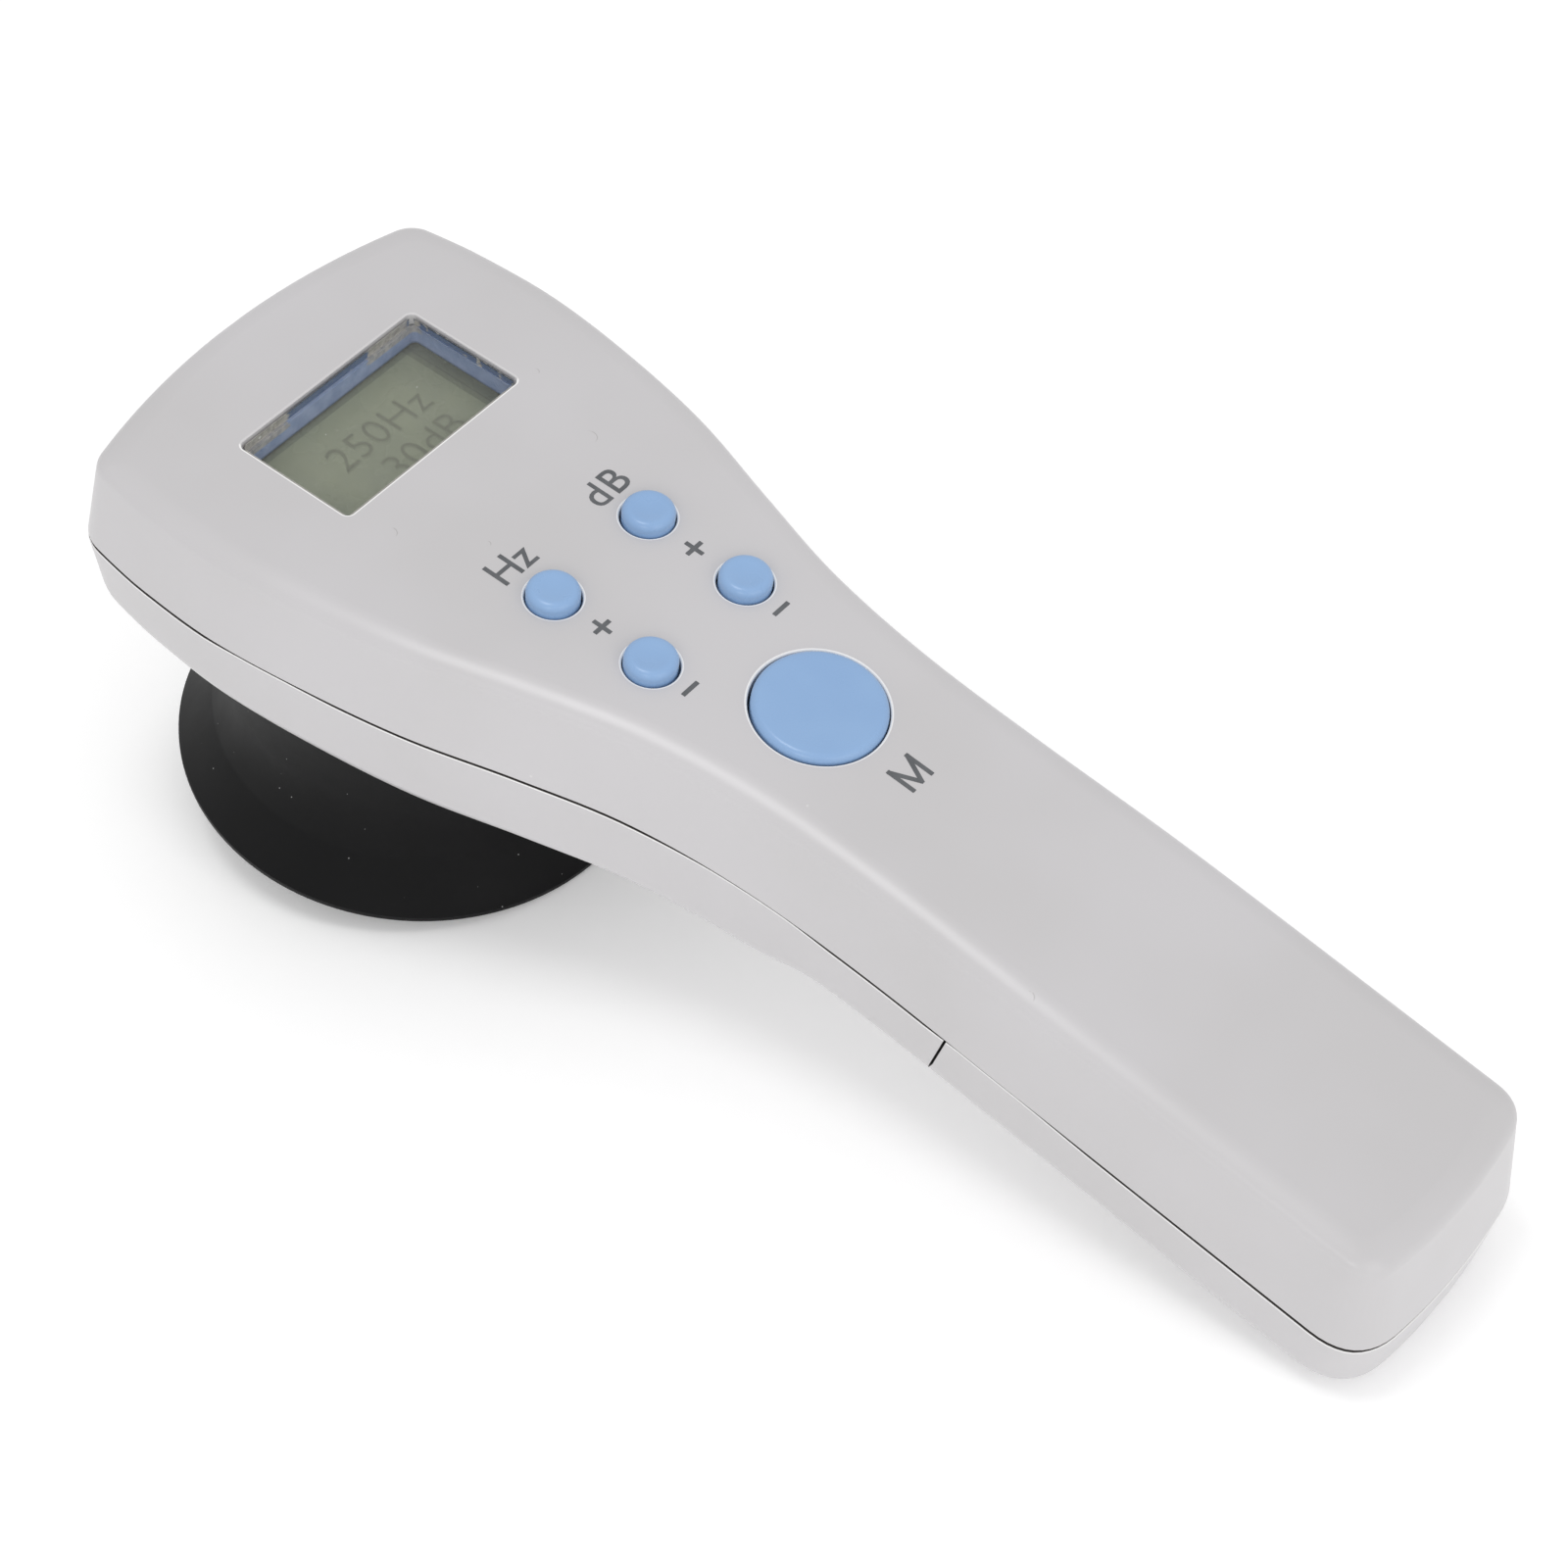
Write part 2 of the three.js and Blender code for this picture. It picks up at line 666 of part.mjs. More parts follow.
function addDisplay() {
  const x = windowX;
  const paneTop = -paneDepth;
  const pane = roundedSlab(
    x,
    windowLength - 2 * restGap,
    windowWidth - 2 * restGap,
    windowCorner,
    paneTop - paneThickness,
    paneTop,
  );
  place("display_window", pane, clearPlastic);
  const gasketTop = -wall - restGap;
  const gasketBottom = gasketTop - gasketHeight;
  const frameLength = windowLength + 2 * gasketRim;
  const frameWidth = windowWidth + 2 * gasketRim;
  const gasketOuter = slab(x, frameLength, frameWidth, gasketBottom, gasketTop);
  const gasketHole = slab(x, windowLength, windowWidth, gasketBottom - overrun, overrun);
  place("display_gasket", shape(gasketOuter, { cut: [gasketHole] }), gasketFoam);
  const glassTop = gasketBottom - restGap;
  const glassBottom = glassTop - glassThickness;
  const glassLength = windowLength + 2 * glassMargin;
  const glassWidth = windowWidth + 2 * glassMargin;
  const glass = slab(x, glassLength, glassWidth, glassBottom, glassTop);
  place("display_glass", glass, displayGlass);
  const holderBottom = boardTop + restGap;
  const pocketLength = glassLength + 2 * restGap;
  const pocketWidth = glassWidth + 2 * restGap;
  const pocketFloor = glassBottom - restGap;
  const holderOuter = slab(
    x,
    pocketLength + 2 * holderRim,
    pocketWidth + 2 * holderRim,
    holderBottom,
    glassTop,
  );
  const pocket = slab(x, pocketLength, pocketWidth, pocketFloor, glassTop + overrun);
  const wellLength = pocketLength - 2 * holderLedge;
  const wellWidth = pocketWidth - 2 * holderLedge;
  const well = slab(x, wellLength, wellWidth, holderBottom - overrun, glassTop);
  place("display_holder", shape(holderOuter, { cut: [pocket, well] }), darkPlastic);
  const stripOffset = wellLength / 2 - restGap - stripThickness / 2;
  const stripLength = wellWidth - 2 * stripEndGap;
  for (const [name, side] of [["front", -1], ["rear", 1]]) {
    const stripX = x + side * stripOffset;
    const strip = slab(stripX, stripThickness, stripLength, holderBottom, pocketFloor);
    place(`contact_strip_${name}`, strip, paleRubber);
  }
}

function addBoard() {
  const whole = loft(upperCornerTaper, [
    { inset: boardInset, height: () => boardUnderside },
    { inset: boardInset, height: () => boardTop },
  ]);
  const span = block(
    [frontX + boardFromFront, -headWidth, -headDepth],
    [boardEndFromMeasure, headWidth, headDepth],
  );
  const low = boardUnderside - overrun;
  const high = boardTop + overrun;
  const notches = housingBosses.map(([x, y]) =>
    post(x, y, housingBossDiameter + 2 * boardNotchGap, low, high),
  );
  const holes = boardBosses.map(([x, y]) => post(x, y, smallScrewHole, low, high));
  const board = shape(whole, { keep: [span], cut: [...notches, ...holes] });
  place("main_circuit_board", board, boardLaminate);
  const chipLow = boardTop + restGap;
  const controller = slab(
    frontX + controllerFromFront,
    chipSize,
    chipSize,
    chipLow,
    chipLow + chipHeight,
  );
  place("controller_chip", controller, darkPlastic);
  const underTop = boardUnderside - restGap;
  const amplifier = slab(
    earConnectorX + amplifierFromEarConnector,
    chipSize,
    chipSize,
    underTop - chipHeight,
    underTop,
  );
  place("amplifier_chip", amplifier, darkPlastic);
  const connectors = {
    earphone_connector: earConnectorX,
    battery_connector: batteryConnectorFromMeasure,
  };
  for (const [name, x] of Object.entries(connectors)) {
    const low = underTop - connectorHeight;
    place(name, slab(x, connectorLength, connectorWidth, low, underTop), paleRubber);
  }
}

// A push button that is held under the casing by its flange. Its top falls as the casing does.
function pushButton({ diameter, stemDiameter, top, fall, edge, dish, flangeTop, stemEnd }, sides) {
  const radius = diameter / 2;
  const flat = radius - edge;
  const rounded = Array.from({ length: edgeSteps + 1 }, (_, i) => {
    const angle = ((i / edgeSteps) * Math.PI) / 2;
    return [flat + edge * Math.cos(angle), top - edge + edge * Math.sin(angle)];
  });
  const flangeRadius = radius + flangeWidth;
  const flangeLow = flangeTop - flangeHeight;
  const profile = [
    [0, stemEnd],
    [stemDiameter / 2, stemEnd],
    [stemDiameter / 2, flangeLow],
    [flangeRadius, flangeLow],
    [flangeRadius, flangeTop],
    [radius, flangeTop],
    ...rounded,
    [flat / 2, top - dish * dishMidShare],
    [0, top - dish],
  ];
  const button = turned(profile, sides);
  const points = button.attributes.position;
  for (let i = 0; i < points.count; i++) {
    const isTop = points.getZ(i) > (flangeTop + top) / 2;
    if (isTop) points.setZ(i, points.getZ(i) - fall * points.getX(i));
  }
  return button;
}

function addButton({ name, x, y, diameter, stemDiameter, proud, edge, dish, sides }) {
  const switchLow = boardTop + restGap;
  const switchTop = switchLow + switchHeight;
  const plungerTop = switchTop + plungerProud;
  const reach = diameter / 2 + flangeWidth;
  const sizes = {
    diameter,
    stemDiameter,
    top: topZ(x) + proud,
    fall: topFall(x),
    edge,
    dish,
    flangeTop: topZ(x + reach) - wall - restGap,
    stemEnd: plungerTop + restGap,
  };
  const button = pushButton(sizes, sides).translate(x, y, 0);
  place(`${name}_button`, button, keyPlastic);
  const half = switchSize / 2;
  const boreFloor = switchLow + switchFloor;
  const bore = post(x, y, plungerDiameter + 2 * restGap, boreFloor, switchTop + overrun);
  const body = block([x - half, y - half, switchLow], [x + half, y + half, switchTop]);
  place(`${name}_switch`, shape(body, { cut: [bore] }), darkPlastic);
  const plungerLow = boreFloor + restGap + keyTravel;
  place(`${name}_plunger`, post(x, y, plungerDiameter, plungerLow, plungerTop), paleRubber);
}

function addButtons() {
  const keySizes = {
    diameter: keyDiameter,
    stemDiameter: keyStemDiameter,
    proud: keyProud,
    edge: keyEdge,
    dish: keyDish,
    sides: keySides,
  };
  for (const key of keys) addButton({ ...key, ...keySizes });
  addButton({
    name: "measure",
    x: 0,
    y: 0,
    diameter: measureDiameter,
    stemDiameter: measureStemDiameter,
    proud: measureProud,
    edge: measureEdge,
    dish: measureDish,
    sides: measureSides,
  });
}

const driverBottom = wall - driverHeight;
const screenTop = driverBottom - restGap;
const screenLow = screenTop - screenThickness;

function makeCushion() {
  const outer = neckDiameter / 2;
  const skirt = skirtDiameter / 2;
  const waist = waistDiameter / 2;
  const rim = rimDiameter / 2;
  const face = -cushionHeight;
  const rimTop = face + rimHeight;
  const waistZ = face + waistFromRim;
  const skirtZ = face + skirtHeight;
  const spigotRadius = driverDiameter / 2 + 2 * restGap + spigotWall;
  const driverRadius = driverDiameter / 2 + restGap;
  const screenRadius = screenDiameter / 2 + restGap;
  const holeRadius = soundHoleDiameter / 2;
  const faceInside = rim - rimEdge - rimFaceWidth;
  const holeTop = screenLow - restGap;
  const holeLow = holeTop - soundHoleDepth;
  // The neck narrows from the skirt to its waist, then widens a little towards the casing.
  const neckShares = [0, 0.25, 0.5, 0.75];
  const lowNeck = neckShares.map((share) => [
    lerp(waist, skirt, (1 - share) * (1 - share)),
    lerp(skirtZ, waistZ, share),
  ]);
  const highNeck = neckShares.map((share) => [
    lerp(waist, outer, share * share),
    lerp(waistZ, -restGap - neckShoulder, share),
  ]);
  // The mouth opens from the sound hole to the rim's face, along a shallow curve.
  const mouthShares = [1, 0.75, 0.5, 0.25, 0];
  const mouth = mouthShares.map((share) => [
    lerp(holeRadius, faceInside, share),
    lerp(holeLow, face, Math.pow(share, mouthPower)),
  ]);
  const profile = [
    [rim - rimEdge, face],
    [rim, face + rimEdge],
    [rim, rimTop],
    ...lowNeck,
    ...highNeck,
    [outer, -restGap - neckShoulder],
    [outer - neckShoulder, -restGap],
    [spigotRadius, -restGap],
    [spigotRadius, -spigotHeight - restGap],
    [driverRadius, -spigotHeight - restGap],
    [driverRadius, screenTop],
    [screenRadius, screenTop],
    [screenRadius, holeTop],
    [holeRadius, holeTop],
    ...mouth.reverse(),
    [rim - rimEdge, face],
  ];
  return turned(profile, earSides);
}

function addEarphone() {
  const driverRadius = driverDiameter / 2;
  const magnetRadius = magnetDiameter / 2;
  const driver = [
    [0, driverBottom],
    [driverRadius - driverEdge, driverBottom],
    [driverRadius, driverBottom + driverEdge],
    [driverRadius, wall],
    [magnetRadius, wall],
    [magnetRadius, wall + magnetHeight],
    [0, wall + magnetHeight],
  ];
  place("earphone_driver", turned(driver, earSides), darkPlastic, ear);
  const screen = post(0, 0, screenDiameter, screenLow, screenTop, earSides);
  place("earphone_screen", screen, darkPlastic, ear);
  const inside = driverRadius - retainerWidth / 2;
  const outside = driverRadius + retainerWidth / 2;
  const low = wall + restGap;
  const high = low + retainerHeight;
  const retainer = [
    [inside, low],
    [outside, low],
    [outside, high],
    [inside, high],
    [inside, low],
  ];
  place("earphone_retainer", turned(retainer, earSides), darkPlastic, ear);
  place("ear_cushion", makeCushion(), cushionRubber, ear);
}

function addTray() {
  const outside = block(
    [trayStart, -trayHalfWidth, trayBottom],
    [trayEnd, trayHalfWidth, trayTop],
  );
  const bayHalfWidth = trayHalfWidth - trayWall;
  const bay = block(
    [bayStart, -bayHalfWidth, trayBottom - overrun],
    [bayEnd, bayHalfWidth, trayFloor],
  );
  const tab = block(
    [trayStart - trayTab, -trayTabWidth / 2, trayFloor],
    [bayStart, trayTabWidth / 2, trayTop],
  );
  const railWidth = trayHalfWidth + railReach;
  const rails = block([trayStart, -railWidth, trayBottom], [trayEnd, railWidth, railTop]);
  const slots = cellRows.map((y) => {
    const half = plateTabWidth / 2 + restGap;
    const slotEnd = plateStart + plateThickness + restGap;
    return block([bayStart, y - half, trayFloor - overrun], [slotEnd, y + half, trayTop + overrun]);
  });
  const holes = trayScrews.map((x) =>
    post(x, 0, smallScrewHole, trayFloor - overrun, trayTop + overrun),
  );
  const tray = shape(outside, { add: [tab, rails], cut: [bay, ...slots, ...holes] });
  place("battery_tray", tray, darkPlastic, grip);
}

// A cell whose small end is nubEnd, and whose other end lies towards +x or -x.
function addCell(name, y, nubEnd, direction) {
  const radius = cellDiameter / 2;
  const shoulder = cellLength - nubHeight;
  const profile = [
    [0, 0],
    [radius - cellEdge, 0],
    [radius, cellEdge],
    [radius, shoulder - cellEdge],
    [radius - cellEdge, shoulder],
    [nubDiameter / 2, shoulder],
    [nubDiameter / 2, cellLength],
    [0, cellLength],
  ];
  const cell = turned(profile, cellSides).rotateY((-direction * Math.PI) / 2);
  cell.translate(nubEnd + direction * cellLength, y, cellZ);
  place(name, cell, cellJacket, grip);
}

// The middle line of a conical spring that narrows towards +x.
function coilPoints() {
  const count = springTurns * stepsPerTurn;
  return Array.from({ length: count + 1 }, (_, i) => {
    const share = i / count;
    const angle = share * springTurns * 2 * Math.PI;
    const radius = lerp(springWideDiameter - springWire, springNarrowDiameter - springWire, share) / 2;
    const x = lerp(springWire / 2, springLength - springWire / 2, share);
    return new THREE.Vector3(x, radius * Math.cos(angle), radius * Math.sin(angle));
  });
}

function leastCoilGap(points) {
  const apart = stepsPerTurn / 2;
  let least = Infinity;
  points.forEach((point, i) => {
    for (const other of points.slice(i + apart)) {
      least = Math.min(least, point.distanceTo(other) - springWire);
    }
  });
  return least;
}

function addContacts() {
  const low = cellZ - plateDepth / 2;
  const high = cellZ + plateDepth / 2;
  const names = ["positive_terminal", "negative_terminal"];
  cellRows.forEach((y, i) => {
    const plate = block(
      [plateStart, y - plateWidth / 2, low],
      [plateStart + plateThickness, y + plateWidth / 2, high],
    );
    const tab = block(
      [plateStart, y - plateTabWidth / 2, cellZ],
      [plateStart + plateThickness, y + plateTabWidth / 2, trayTop + plateTab],
    );
    place(names[i], shape(plate, { add: [tab] }), plainSteel, grip);
  });
  const linkReach = (cellSpacing + plateWidth) / 2;
  const link = block([plateEnd - plateThickness, -linkReach, low], [plateEnd, linkReach, high]);
  place("link_plate", link, plainSteel, grip);
  const points = coilPoints();
  const curve = new THREE.CatmullRomCurve3(points);
  console.log(`least gap between a spring's turns: ${leastCoilGap(points).toFixed(2)} mm`);
  const spring = tube(curve, springWire, wireSides, points.length - 1);
  const terminalSpring = spring.clone().translate(cellStart, cellRows[1], cellZ);
  place("terminal_spring", terminalSpring, plainSteel, grip);
  const linkSpring = spring.rotateZ(Math.PI).translate(cellStart + cellReach, cellRows[0], cellZ);
  place("link_spring", linkSpring, plainSteel, grip);
}

function addLead(name, points, material) {
  const curve = new THREE.CatmullRomCurve3(points);
  place(name, tube(curve, leadDiameter, leadSides, leadSteps), material);
}

function addLeads() {
  const plugZ = boardUnderside - restGap - connectorHeight / 2;
  const colours = [["red", redSleeve], ["black", blackSleeve]];
  colours.forEach(([colour, material], i) => {
    const row = bothSides[i] * (leadSpacing / 2);
    const start = new THREE.Vector3(
      plateStart - restGap,
      cellRows[i],
      trayTop + restGap + leadDiameter / 2,
    );
    const past = start.clone().setX(trayStart - trayTab / 2);
    const plugEnd = batteryConnectorFromMeasure + connectorLength / 2 + restGap;
    addLead(`battery_lead_${colour}`, [
      start.applyMatrix4(grip.matrix),
      past.applyMatrix4(grip.matrix),
      new THREE.Vector3(plugEnd + leadBendRun, row, plugZ),
      new THREE.Vector3(plugEnd, row, plugZ),
    ], material);
    const solder = new THREE.Vector3(leadFromEarAxis, row, wall + restGap);
    const above = solder.clone().setZ(wall + leadBendRun / 2);
    const earPlug = earConnectorX - connectorLength / 2 - restGap;
    addLead(`earphone_lead_${colour}`, [
      solder.applyMatrix4(ear.matrix),
      above.applyMatrix4(ear.matrix),
      new THREE.Vector3(earPlug - leadBendRun / 2, row, plugZ),
      new THREE.Vector3(earPlug, row, plugZ),
    ], material);
  });
}

// A screw that points up, with its head under the seat.
function screw(x, y, seat, { diameter, head, length }) {
  const top = seat - restGap;
  const low = top - screwHeadHeight;
  const profile = [
    [0, low + screwSocketDepth],
    [diameter / 2, low + screwSocketDepth],
    [diameter / 2, low],
    [head / 2, low],
    [head / 2, top],
    [diameter / 2, top],
    [diameter / 2, seat + length],
    [0, seat + length],
  ];
  return turned(profile, smallSides).translate(x, y, 0);
}

function addScrews() {
  const large = {
    diameter: housingScrewDiameter,
    head: housingScrewHead,
    length: housingScrewLength,
  };
  const small = {
    diameter: smallScrewDiameter,
    head: smallScrewHead,
    length: smallScrewLength,
  };
  housingBosses.forEach(([x, y], i) => {
    place(`housing_screw_${i + 1}`, screw(x, y, screwSeat(x), large), plainSteel);
  });
  boardBosses.forEach(([x, y], i) => {
    place(`board_screw_${i + 1}`, screw(x, y, boardUnderside, small), plainSteel);
  });
  trayScrews.forEach((x, i) => {
    place(`tray_screw_${i + 1}`, screw(x, 0, trayFloor, small), plainSteel, grip);
  });
}

addDisplay();
addBoard();
addButtons();
addEarphone();
addTray();
addCell("battery_1", cellRows[0], cellStart, 1);
addCell("battery_2", cellRows[1], cellStart + cellReach, -1);
addContacts();
addLeads();
addScrews();

// The device rests on the edge of the cushion's rim and on the end of the grip.
const heel = new THREE.Vector3(rimDiameter / 2 - rimEdge, 0, -cushionHeight);
heel.applyMatrix4(ear.matrix);
const endTilts = roundedBottom(lowerDraft, bottomRound, roundSteps, bottomZ).map((level) => {
  const x = endX - level.inset;
  return Math.atan2(level.height(x) - heel.z, x - heel.x);
});
device.rotation.y = Math.min(...endTilts);
const box = new THREE.Box3().setFromObject(device, true);
const middle = box.getCenter(new THREE.Vector3());
device.position.set(-middle.x, -middle.y, -box.min.z);
console.log(`resting tilt: ${THREE.MathUtils.radToDeg(device.rotation.y).toFixed(2)} degrees`);

export default device;
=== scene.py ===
import json
from math import atan, atan2, cos, hypot, pi, radians, sin, tan
import bpy
from mathutils import Matrix, Vector


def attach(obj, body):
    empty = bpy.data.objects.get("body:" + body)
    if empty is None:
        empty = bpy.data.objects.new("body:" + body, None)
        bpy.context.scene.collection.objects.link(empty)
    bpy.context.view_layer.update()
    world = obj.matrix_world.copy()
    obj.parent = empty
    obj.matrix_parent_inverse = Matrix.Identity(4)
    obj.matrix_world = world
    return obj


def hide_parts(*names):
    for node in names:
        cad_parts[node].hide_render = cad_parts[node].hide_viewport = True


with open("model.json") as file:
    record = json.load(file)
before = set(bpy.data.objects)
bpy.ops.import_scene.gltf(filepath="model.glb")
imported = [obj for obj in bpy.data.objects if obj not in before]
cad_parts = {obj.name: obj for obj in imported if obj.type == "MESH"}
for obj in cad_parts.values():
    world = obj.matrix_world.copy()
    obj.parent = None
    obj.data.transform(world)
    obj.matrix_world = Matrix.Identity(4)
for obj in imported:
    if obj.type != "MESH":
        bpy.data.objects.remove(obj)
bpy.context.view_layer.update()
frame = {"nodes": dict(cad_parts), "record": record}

mm = 0.001

# The part is modelled with the head's top level and the large button over the origin, +X towards
# the grip's end. Every finished piece is then stood on the cushion's rim and the grip's end.
standing = {"tilt": 8.25253, "origin": (7.1476, 0, 61.0376)}
stand = Matrix.Translation(Vector(standing["origin"]) * mm) @ Matrix.Rotation(
    radians(standing["tilt"]), 4, "Y"
)

casing = {
    "front": -111.6,
    "end": 109.582,
    "headWidth": 75.7,
    "gripWidth": 41.3,
    "cornerInset": 2.55,
    "frontBow": 5.1,
    "endBow": 2.0,
    "frontCut": 4.6,  # of the corners
    "endCut": 7.5,
    "flatLength": 40.2,
    "bendLength": 134.6,
    "gripSlope": radians(8.7),
    "headDepth": 29.0,
    "headPitch": radians(3.4),
    "gripThickness": 30.1,
    "frontWall": 15.3,
    "gripWall": 16.5,
    "heelStart": 4.0,
    "heelLength": 14.0,
    "wall": 2.0,
    "innerRound": 0.4,
    "topRound": 2.2,
    "shoulder": 7.0,  # radius of the ridge's last part, next to the top
    "shoulderFrom": radians(60),
    "bottomRound": 5.5,
    "upperDraft": 1.8,
    "lowerDraft": 1.0,
    "upperLean": 7.9,  # of the side walls, in degrees
    "lowerLean": 6.6,
    "upperCornerTaper": 0.2,  # share of a corner's cut that goes per millimetre of inset
    "lowerCornerTaper": 0.02,
    "leastCut": 0.3,
    "slack": 0.03,  # keeps the fine outline inside the coarser one of the solids
    "seamGaps": [  # x, how wide the seam gapes
        (-112, 0.65), (-80, 0.6), (-74, 0.3), (-66, 0.28), (-57, 0.5), (-12, 0.55), (0, 0.2),
        (12, 0.16), (19, 0.5), (36, 0.5), (41, 0.14), (52, 0.12), (64, 0.5), (106, 0.65), (110, 0.3),
    ],
    "seamEdge": 0.12,  # small round where the two shells meet
    "rimEdge": 0.2,
    "lip": 0.7,
    "lipHeight": 1.5,
    "coverFront": 39.3,
    "coverLean": radians(15.5),
    "coverGap": 0.4,
    "restGap": 0.3,
    "sides": [  # share of the length, share of the way from grip width to head width
        (0.028, 0.852), (0.052, 0.913), (0.089, 0.975), (0.152, 1.0), (0.224, 0.897),
        (0.297, 0.714), (0.369, 0.425), (0.441, 0.161), (0.523, 0.015), (0.613, -0.02),
        (0.731, 0.0), (1.0, 0.0),
    ],
}
bendStart = casing["front"] + casing["flatLength"]
bendEnd = bendStart + casing["bendLength"]


def between(a, b, share):
    return a + (b - a) * share


def topAt(x):
    bend = min(max((x - bendStart) / casing["bendLength"], 0), 1)
    run = casing["bendLength"] * bend * bend / 2 + max(x - bendEnd, 0)
    return -tan(casing["gripSlope"]) * run


def fallAt(x):
    return tan(casing["gripSlope"]) * min(max((x - bendStart) / casing["bendLength"], 0), 1)


def seamAt(x):
    along = min(max((x - casing["front"]) / (bendEnd - casing["front"]), 0), 1)
    return topAt(x) - between(casing["frontWall"], casing["gripWall"], along)


def gapAt(x):
    marks = casing["seamGaps"]
    for (x0, gap0), (x1, gap1) in zip(marks, marks[1:]):
        if x < x1:
            return between(gap0, gap1, min(max((x - x0) / (x1 - x0), 0), 1))
    return marks[-1][1]


def floorAt(x):
    head = -casing["headDepth"] - tan(casing["headPitch"]) * (x - casing["front"])
    t = min(max((x - casing["heelStart"]) / casing["heelLength"], 0), 1)
    return between(head, topAt(x) - casing["gripThickness"], t * t * (3 - 2 * t))


def halfWidthAt(x):
    length = casing["end"] - casing["front"]
    marks = [
        (casing["front"] + along * length, between(casing["gripWidth"], casing["headWidth"], across) / 2)
        for along, across in casing["sides"]
    ]
    last = len(marks) - 1
    k = 0
    while k < last - 1 and x > marks[k + 1][0]:
        k += 1

    def leanAt(j):
        before, after = marks[max(j - 1, 0)], marks[min(j + 1, last)]
        return (after[1] - before[1]) / (after[0] - before[0])

    span = marks[k + 1][0] - marks[k][0]
    t = (x - marks[k][0]) / span
    straight = between(marks[k][1], marks[k + 1][1], t * t * (3 - 2 * t))
    return straight + leanAt(k) * span * t * (1 - t) ** 2 - leanAt(k + 1) * span * t * t * (1 - t)


def setMode(mode):
    bpy.ops.object.mode_set(mode=mode)


def clearSelection():
    if bpy.context.object and bpy.context.object.mode != "OBJECT":
        setMode("OBJECT")
    bpy.ops.object.select_all(action="DESELECT")


def takeUp(piece):
    clearSelection()
    piece.select_set(True)
    bpy.context.view_layer.objects.active = piece


def newest(name):
    piece = bpy.context.object
    piece.name = name
    piece.data.name = name
    return piece


def selectAll():
    bpy.ops.mesh.select_all(action="SELECT")


def extrude(x, y, z):
    bpy.ops.mesh.extrude_region_move(TRANSFORM_OT_translate={"value": (x * mm, y * mm, z * mm)})


# Ends the work in edit mode with all faces pointing outwards.
def closeMesh():
    selectAll()
    bpy.ops.mesh.normals_make_consistent(inside=False)
    setMode("OBJECT")


# Puts the piece's place, turn and scale into its mesh.
def bakePlace(piece):
    takeUp(piece)
    bpy.ops.object.transform_apply(location=True, rotation=True, scale=True)
    return piece


# Leaves the piece in edit mode with the vertices, edges or faces that pass the test selected.
def pick(piece, kind, test):
    takeUp(piece)
    setMode("EDIT")
    bpy.ops.mesh.select_mode(type=kind)
    bpy.ops.mesh.select_all(action="DESELECT")
    setMode("OBJECT")
    parts = {"VERT": "vertices", "EDGE": "edges", "FACE": "polygons"}[kind]
    for part in getattr(piece.data, parts):
        part.select = test(part)
    setMode("EDIT")


def applyModifier(piece, kind, **settings):
    takeUp(piece)
    step = piece.modifiers.new(kind.title(), kind)
    for key, value in settings.items():
        setattr(step, key, value)
    bpy.ops.object.modifier_apply(modifier=step.name)


def joined(pieces):
    clearSelection()
    for piece in pieces:
        piece.select_set(True)
    bpy.context.view_layer.objects.active = pieces[0]
    if len(pieces) > 1:
        bpy.ops.object.join()
    return bpy.context.object


# Cuts the tool from the piece, or joins it on, or keeps what both hold. The tool is used up.
def combine(piece, tool, operation="DIFFERENCE", keepTool=False):
    applyModifier(piece, "BOOLEAN", operation=operation, solver="EXACT", object=tool)
    if not keepTool:
        bpy.data.objects.remove(tool, do_unlink=True)


def copyOf(piece, name):
    takeUp(piece)
    bpy.ops.object.duplicate(linked=False)
    return newest(name)


def addPost(x, y, diameter, low, high, sides=48):
    clearSelection()
    bpy.ops.mesh.primitive_cylinder_add(
        vertices=sides,
        radius=diameter / 2 * mm,
        depth=(high - low) * mm,
        location=(x * mm, y * mm, (low + high) / 2 * mm),
    )
    return newest("post")


def addBlock(low, high):
    clearSelection()
    bpy.ops.mesh.primitive_cube_add(
        size=1,
        location=[(a + b) / 2 * mm for a, b in zip(low, high)],
        scale=[(b - a) * mm for a, b in zip(low, high)],
    )
    return newest("block")


